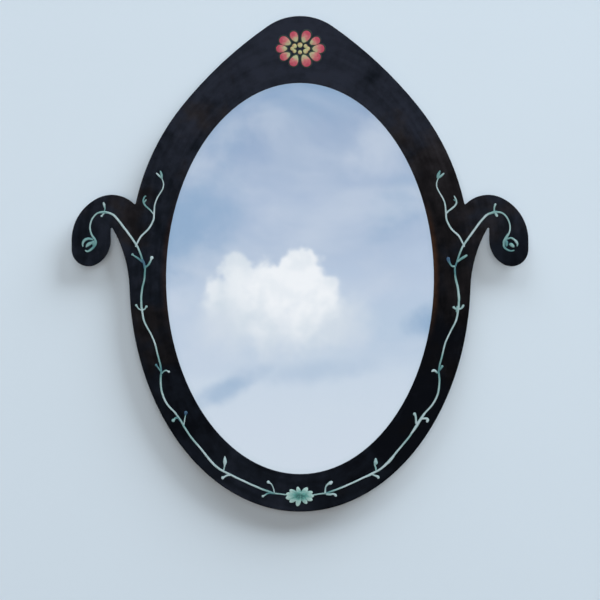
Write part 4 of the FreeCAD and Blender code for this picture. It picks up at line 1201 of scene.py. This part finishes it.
def petal(tree, given):
    ball = put(tree, "GeometryNodeMeshUVSphere", PETAL_BALL)
    x, y, z = axes(position(tree))
    outward = calc("MULTIPLY_ADD", y, 0.5, 0.5)
    widen = put(tree, "ShaderNodeMapRange", {0: outward, 3: given["Root"], 4: 1.0})
    wide = product(x, given["Petal Width"], 0.5, widen)
    long = product(y, given["Petal Length"], 0.5)
    return move(store(ball, "along", outward), Position=join_axes(wide, long, product(z, given["Rise"])))


def rosette_tree():
    tree, given = start_tree("rosette", ROSETTE_INPUTS)
    ring = put(tree, "GeometryNodeMeshCircle", {"Vertices": given["Petals"], "Radius": 1.0})
    oval = join_axes(given["Ring Width"], given["Ring Height"], 1.0)
    ring = move(ring, Position=vector("MULTIPLY", position(tree), oval))
    outward = {"Vector": position(tree)}
    facing = put(tree, "FunctionNodeAlignRotationToVector", outward, axis="Y", pivot_axis="Z")
    luck = chance(tree, minus(1.0, given["Chance"]), total(1.0, given["Chance"]), given["Seed"])
    placing = {"Points": ring, "Instance": petal(tree, given), "Rotation": facing, "Scale": luck}
    petals = put(tree, "GeometryNodeInstanceOnPoints", placing)
    return end_tree(stand_up(petals, given["Sheet Front"], given["Middle Height"]), given["Paint"])


rosette = rosette_tree()
print(f"{rosette.name}: {len(rosette.nodes)} nodes")

# %% [markdown]
# A petal is painted from the root outwards in one pull, and the colours run into each other on the way.
# Three materials, one for each zone, would leave hard borders. One ramp over the stored distance, disturbed
# by noise, gives soft ones, and one function with three colours serves every petal.

# %% Enamel of the petals


def petal_enamel(name, root, middle, tip):
    material, place = start_finish(name, Specular_IOR_Level=0.4)
    along = read(material, "along")
    dab = noise(place, 260, detail=4, roughness=0.6)
    colour = ramp(total(along, swing(dab, 0.9)), (0.18, root), (0.46, middle), (0.80, tip))
    return cover(material, colour, rough(dab, 0.36, 0.54), relief(dab, 0.15 * MM, 0.7))


print("enamel for petals ready")

# %% [markdown]
# The rosette in the crown has ten red petals with pale roots, a dark green edge round each, and a ring of
# straw coloured dots. The edge could be a line, but it is painted as the real one would be: first a larger,
# flatter petal in green, then the red one on top. The tree needs no sketch, so a mesh of one point carries
# it.

# %% Rosette in the crown
CROWN = {"height": 104.4 * MM, "slot": "blossom_paint"}
CROWN_RING, SEED_RING = (22.6 * MM, 15.4 * MM), (9.6 * MM, 4.4 * MM)
EDGE_PETAL, RED_PETAL, SEED = (16.4 * MM, 18.0 * MM), (13.6 * MM, 15.2 * MM), (5.6 * MM, 5.6 * MM)
spot = bpy.data.meshes.new("spot")
spot.from_pydata([(0, 0, 0)], [], [])


def painted_ring(name, paint, ring, petal_size, height, slot, **settings):
    settings["ring_width"], settings["ring_height"] = ring
    settings["petal_width"], settings["petal_length"] = petal_size
    grow(name, spot, rosette, "frame", slot, paint=paint, middle_height=height, **settings)


red = petal_enamel("petal_red", (0.36, 0.37, 0.20), (0.45, 0.13, 0.13), (0.40, 0.035, 0.075))
leaf_green = petal_enamel("petal_outline", (0.01, 0.028, 0.014), (0.006, 0.02, 0.01), (0.004, 0.014, 0.008))
straw = petal_enamel("seed_straw", (0.33, 0.35, 0.16), (0.45, 0.44, 0.22), (0.38, 0.27, 0.12))
painted_ring("crown_outline", leaf_green, CROWN_RING, EDGE_PETAL, **CROWN, rise=0.16 * MM)
painted_ring("crown_petals", red, CROWN_RING, RED_PETAL, **CROWN)
painted_ring("crown_seeds", straw, SEED_RING, SEED, **CROWN, petals=8, root=0.9, chance=0.14, seed=9)

# %% [markdown]
# At the foot the two vines meet in a small rosette. It could be drawn stroke by stroke as they are, but it
# is again a ring of petals, so it is the same tree with other numbers: two rings of narrow petals, in mint
# and teal.

# %% Rosette at the foot
FOOT = {"height": -446.0 * MM, "slot": "vine_paint"}
OUTER_RING, INNER_RING = (11.2 * MM, 5.6 * MM), (6.2 * MM, 3.0 * MM)
OUTER_PETAL, INNER_PETAL = (6.2 * MM, 13.0 * MM), (4.6 * MM, 7.4 * MM)
OUTER = {"petals": 11, "root": 0.8, "chance": 0.16, "seed": 2}
HEART = {"petals": 7, "root": 0.7, "chance": 0.12, "seed": 6, "rise": 0.42 * MM}
pale = petal_enamel("petal_mint", (0.05, 0.20, 0.18), (0.16, 0.345, 0.32), (0.33, 0.50, 0.48))
deep = petal_enamel("petal_teal", (0.018, 0.10, 0.09), (0.038, 0.185, 0.165), (0.10, 0.32, 0.29))
painted_ring("foot_petals", pale, OUTER_RING, OUTER_PETAL, **FOOT, **OUTER)
painted_ring("foot_heart", deep, INNER_RING, INNER_PETAL, **FOOT, **HEART)

# %% [markdown]
# ## Weld beads
# The hoop that holds the glass is welded to the sheet in short runs, so that the sheet doesn't warp, and
# each lug is welded to the hoop at both sides. A bead is a row of frozen ripples. The tree walks along a
# path and puts a flattened ball at each step, larger than the step, so that the ripples overlap. A swept
# tube with a bump would be lighter, but its outline would be smooth, and ripples show best there. They
# shrink towards both ends of a run, where the welder starts and stops.

# %% Weld tree
WELD_INPUTS = {
    "Step": 1.2 * MM,
    "Bead": 2.1 * MM,
    "Taper": 0.7,
    "Seed": 5,
    "Metal": None,
}
RIPPLE_FLATNESS, RIPPLE_LUCK, END_SHARE = 0.72, 0.08, 0.2


def weld_tree():
    tree, given = start_tree("weld", WELD_INPUTS)
    path = put(tree, "GeometryNodeMeshToCurve", {"Mesh": given["Geometry"]})
    along = add(tree, "GeometryNodeSplineParameter").outputs["Factor"]
    from_end = calc("MINIMUM", along, minus(1.0, along))
    swell = put(tree, "ShaderNodeMapRange", {0: from_end, 2: END_SHARE, 3: given["Taper"]})
    spacing = {"Curve": store(path, "swell", swell), "Length": given["Step"]}
    walk = add(tree, "GeometryNodeCurveToPoints", spacing, mode="LENGTH").outputs
    ball = put(tree, "GeometryNodeMeshIcoSphere", {"Radius": given["Bead"], "Subdivisions": 2})
    ripple = transform(ball, Scale=(1, 1, RIPPLE_FLATNESS))
    size = product(chance(tree, 1 - RIPPLE_LUCK, 1 + RIPPLE_LUCK, given["Seed"]), named(tree, "swell"))
    ripples = {"Points": walk["Points"], "Instance": ripple, "Rotation": walk["Rotation"], "Scale": size}
    return end_tree(put(tree, "GeometryNodeInstanceOnPoints", ripples), given["Metal"])


weld = weld_tree()
print(f"{weld.name}: {len(weld.nodes)} nodes")

# %% [markdown]
# Weld metal was blackened with the rest, but heat has left it browner in places, and it is glossier than
# rolled steel because it froze from the melt. The hoop's finish would do from afar. Close up the difference
# shows.

# %% Weld metal


def weld_metal():
    material, place = start_finish("weld_metal", Specular_IOR_Level=0.5)
    heat = noise(place, 130, detail=4, roughness=0.65)
    soot = noise(place, 700, detail=3)
    browns = (0.34, (0.018, 0.018, 0.021)), (0.52, (0.040, 0.036, 0.036)), (0.70, (0.060, 0.042, 0.030))
    colour = ramp(heat, *browns)
    return cover(material, colour, rough(soot, 0.30, 0.55), relief(soot, 0.1 * MM, 0.5))


bead = weld_metal()
print(f"{bead.name}: {len(bead.node_tree.nodes)} nodes")

# %% [markdown]
# The runs follow the hoop, which is an ellipse, where it stands on the sheet. Points could be read from the
# solid's mesh, but its triangles are an accident of the export. The ellipse's formula gives any point, at
# any distance along the hoop and outside it.

# %% Runs along the hoop
HOOP_HALF_WIDTH, HOOP_HALF_HEIGHT = 178.0 * MM, 254.0 * MM
SHEET_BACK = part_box("frame_plate")[1].y
RUN_LENGTH = 26.0 * MM
RUN_POINTS = 9
BEAD_LIFT = 0.7 * MM
RUN_ANGLES = [15, 38, 74, 106, 142, 165, 195, 205, 240, 258, 282, 300, 335, 345]


def on_hoop(angle, depth, out):
    t = math.radians(angle)
    heading = math.atan2(HOOP_HALF_WIDTH * math.sin(t), HOOP_HALF_HEIGHT * math.cos(t))
    x = HOOP_HALF_WIDTH * math.cos(t) + out * math.cos(heading)
    z = HOOP_HALF_HEIGHT * math.sin(t) + out * math.sin(heading) + OVAL_MIDDLE_Z
    return (x, depth, z)


def along_hoop(angle, distance):
    t = math.radians(angle)
    stretch = math.hypot(HOOP_HALF_WIDTH * math.sin(t), HOOP_HALF_HEIGHT * math.cos(t))
    return angle + math.degrees(distance / stretch)


def hoop_runs():
    for angle in RUN_ANGLES:
        steps = [RUN_LENGTH * (i / (RUN_POINTS - 1) - 0.5) for i in range(RUN_POINTS)]
        yield [on_hoop(along_hoop(angle, step), SHEET_BACK + BEAD_LIFT, BEAD_LIFT) for step in steps]


grow("hoop_welds", chain_mesh("hoop_runs", hoop_runs()), weld, "frame", "weld_steel", metal=bead)

# %% [markdown]
# The lugs stand round the hoop at known angles, and a thinner bead runs down each corner where a lug's side
# meets it. The lugs of the hangers are placed by height instead, so the arc sine turns their height into an
# angle.

# %% Corners of the lugs
LUG_STATIONS = {7.0 * MM: (90, 57, 0, -45, -90, -135, 180, 123), 9.0 * MM: (-67.5, -112.5)}
LUG_BEAD, LUG_STEP = 1.3 * MM, 0.8 * MM
CORNER_GAP, FRONT_INSET, BACK_INSET = 0.4 * MM, 0.8 * MM, 1.1 * MM


def lug_corners():
    low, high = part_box("button_lugs")
    front, back = low.y + FRONT_INSET, high.y - BACK_INSET
    for half, angles in LUG_STATIONS.items():
        for angle in angles:
            for side in (-1, 1):
                corner = along_hoop(angle, side * (half + CORNER_GAP))
                yield [on_hoop(corner, y, CORNER_GAP) for y in (front, back)]
    low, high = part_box("hanger_lugs")
    for z in (low.z - CORNER_GAP, high.z + CORNER_GAP):
        corner = math.degrees(math.asin((z - OVAL_MIDDLE_Z) / HOOP_HALF_HEIGHT))
        for angle in (corner, 180 - corner):
            yield [on_hoop(angle, y, CORNER_GAP) for y in (front, back)]


lug_path = chain_mesh("lug_corners", lug_corners())
grow("lug_welds", lug_path, weld, "frame", "weld_steel", metal=bead, bead=LUG_BEAD, step=LUG_STEP, seed=12)
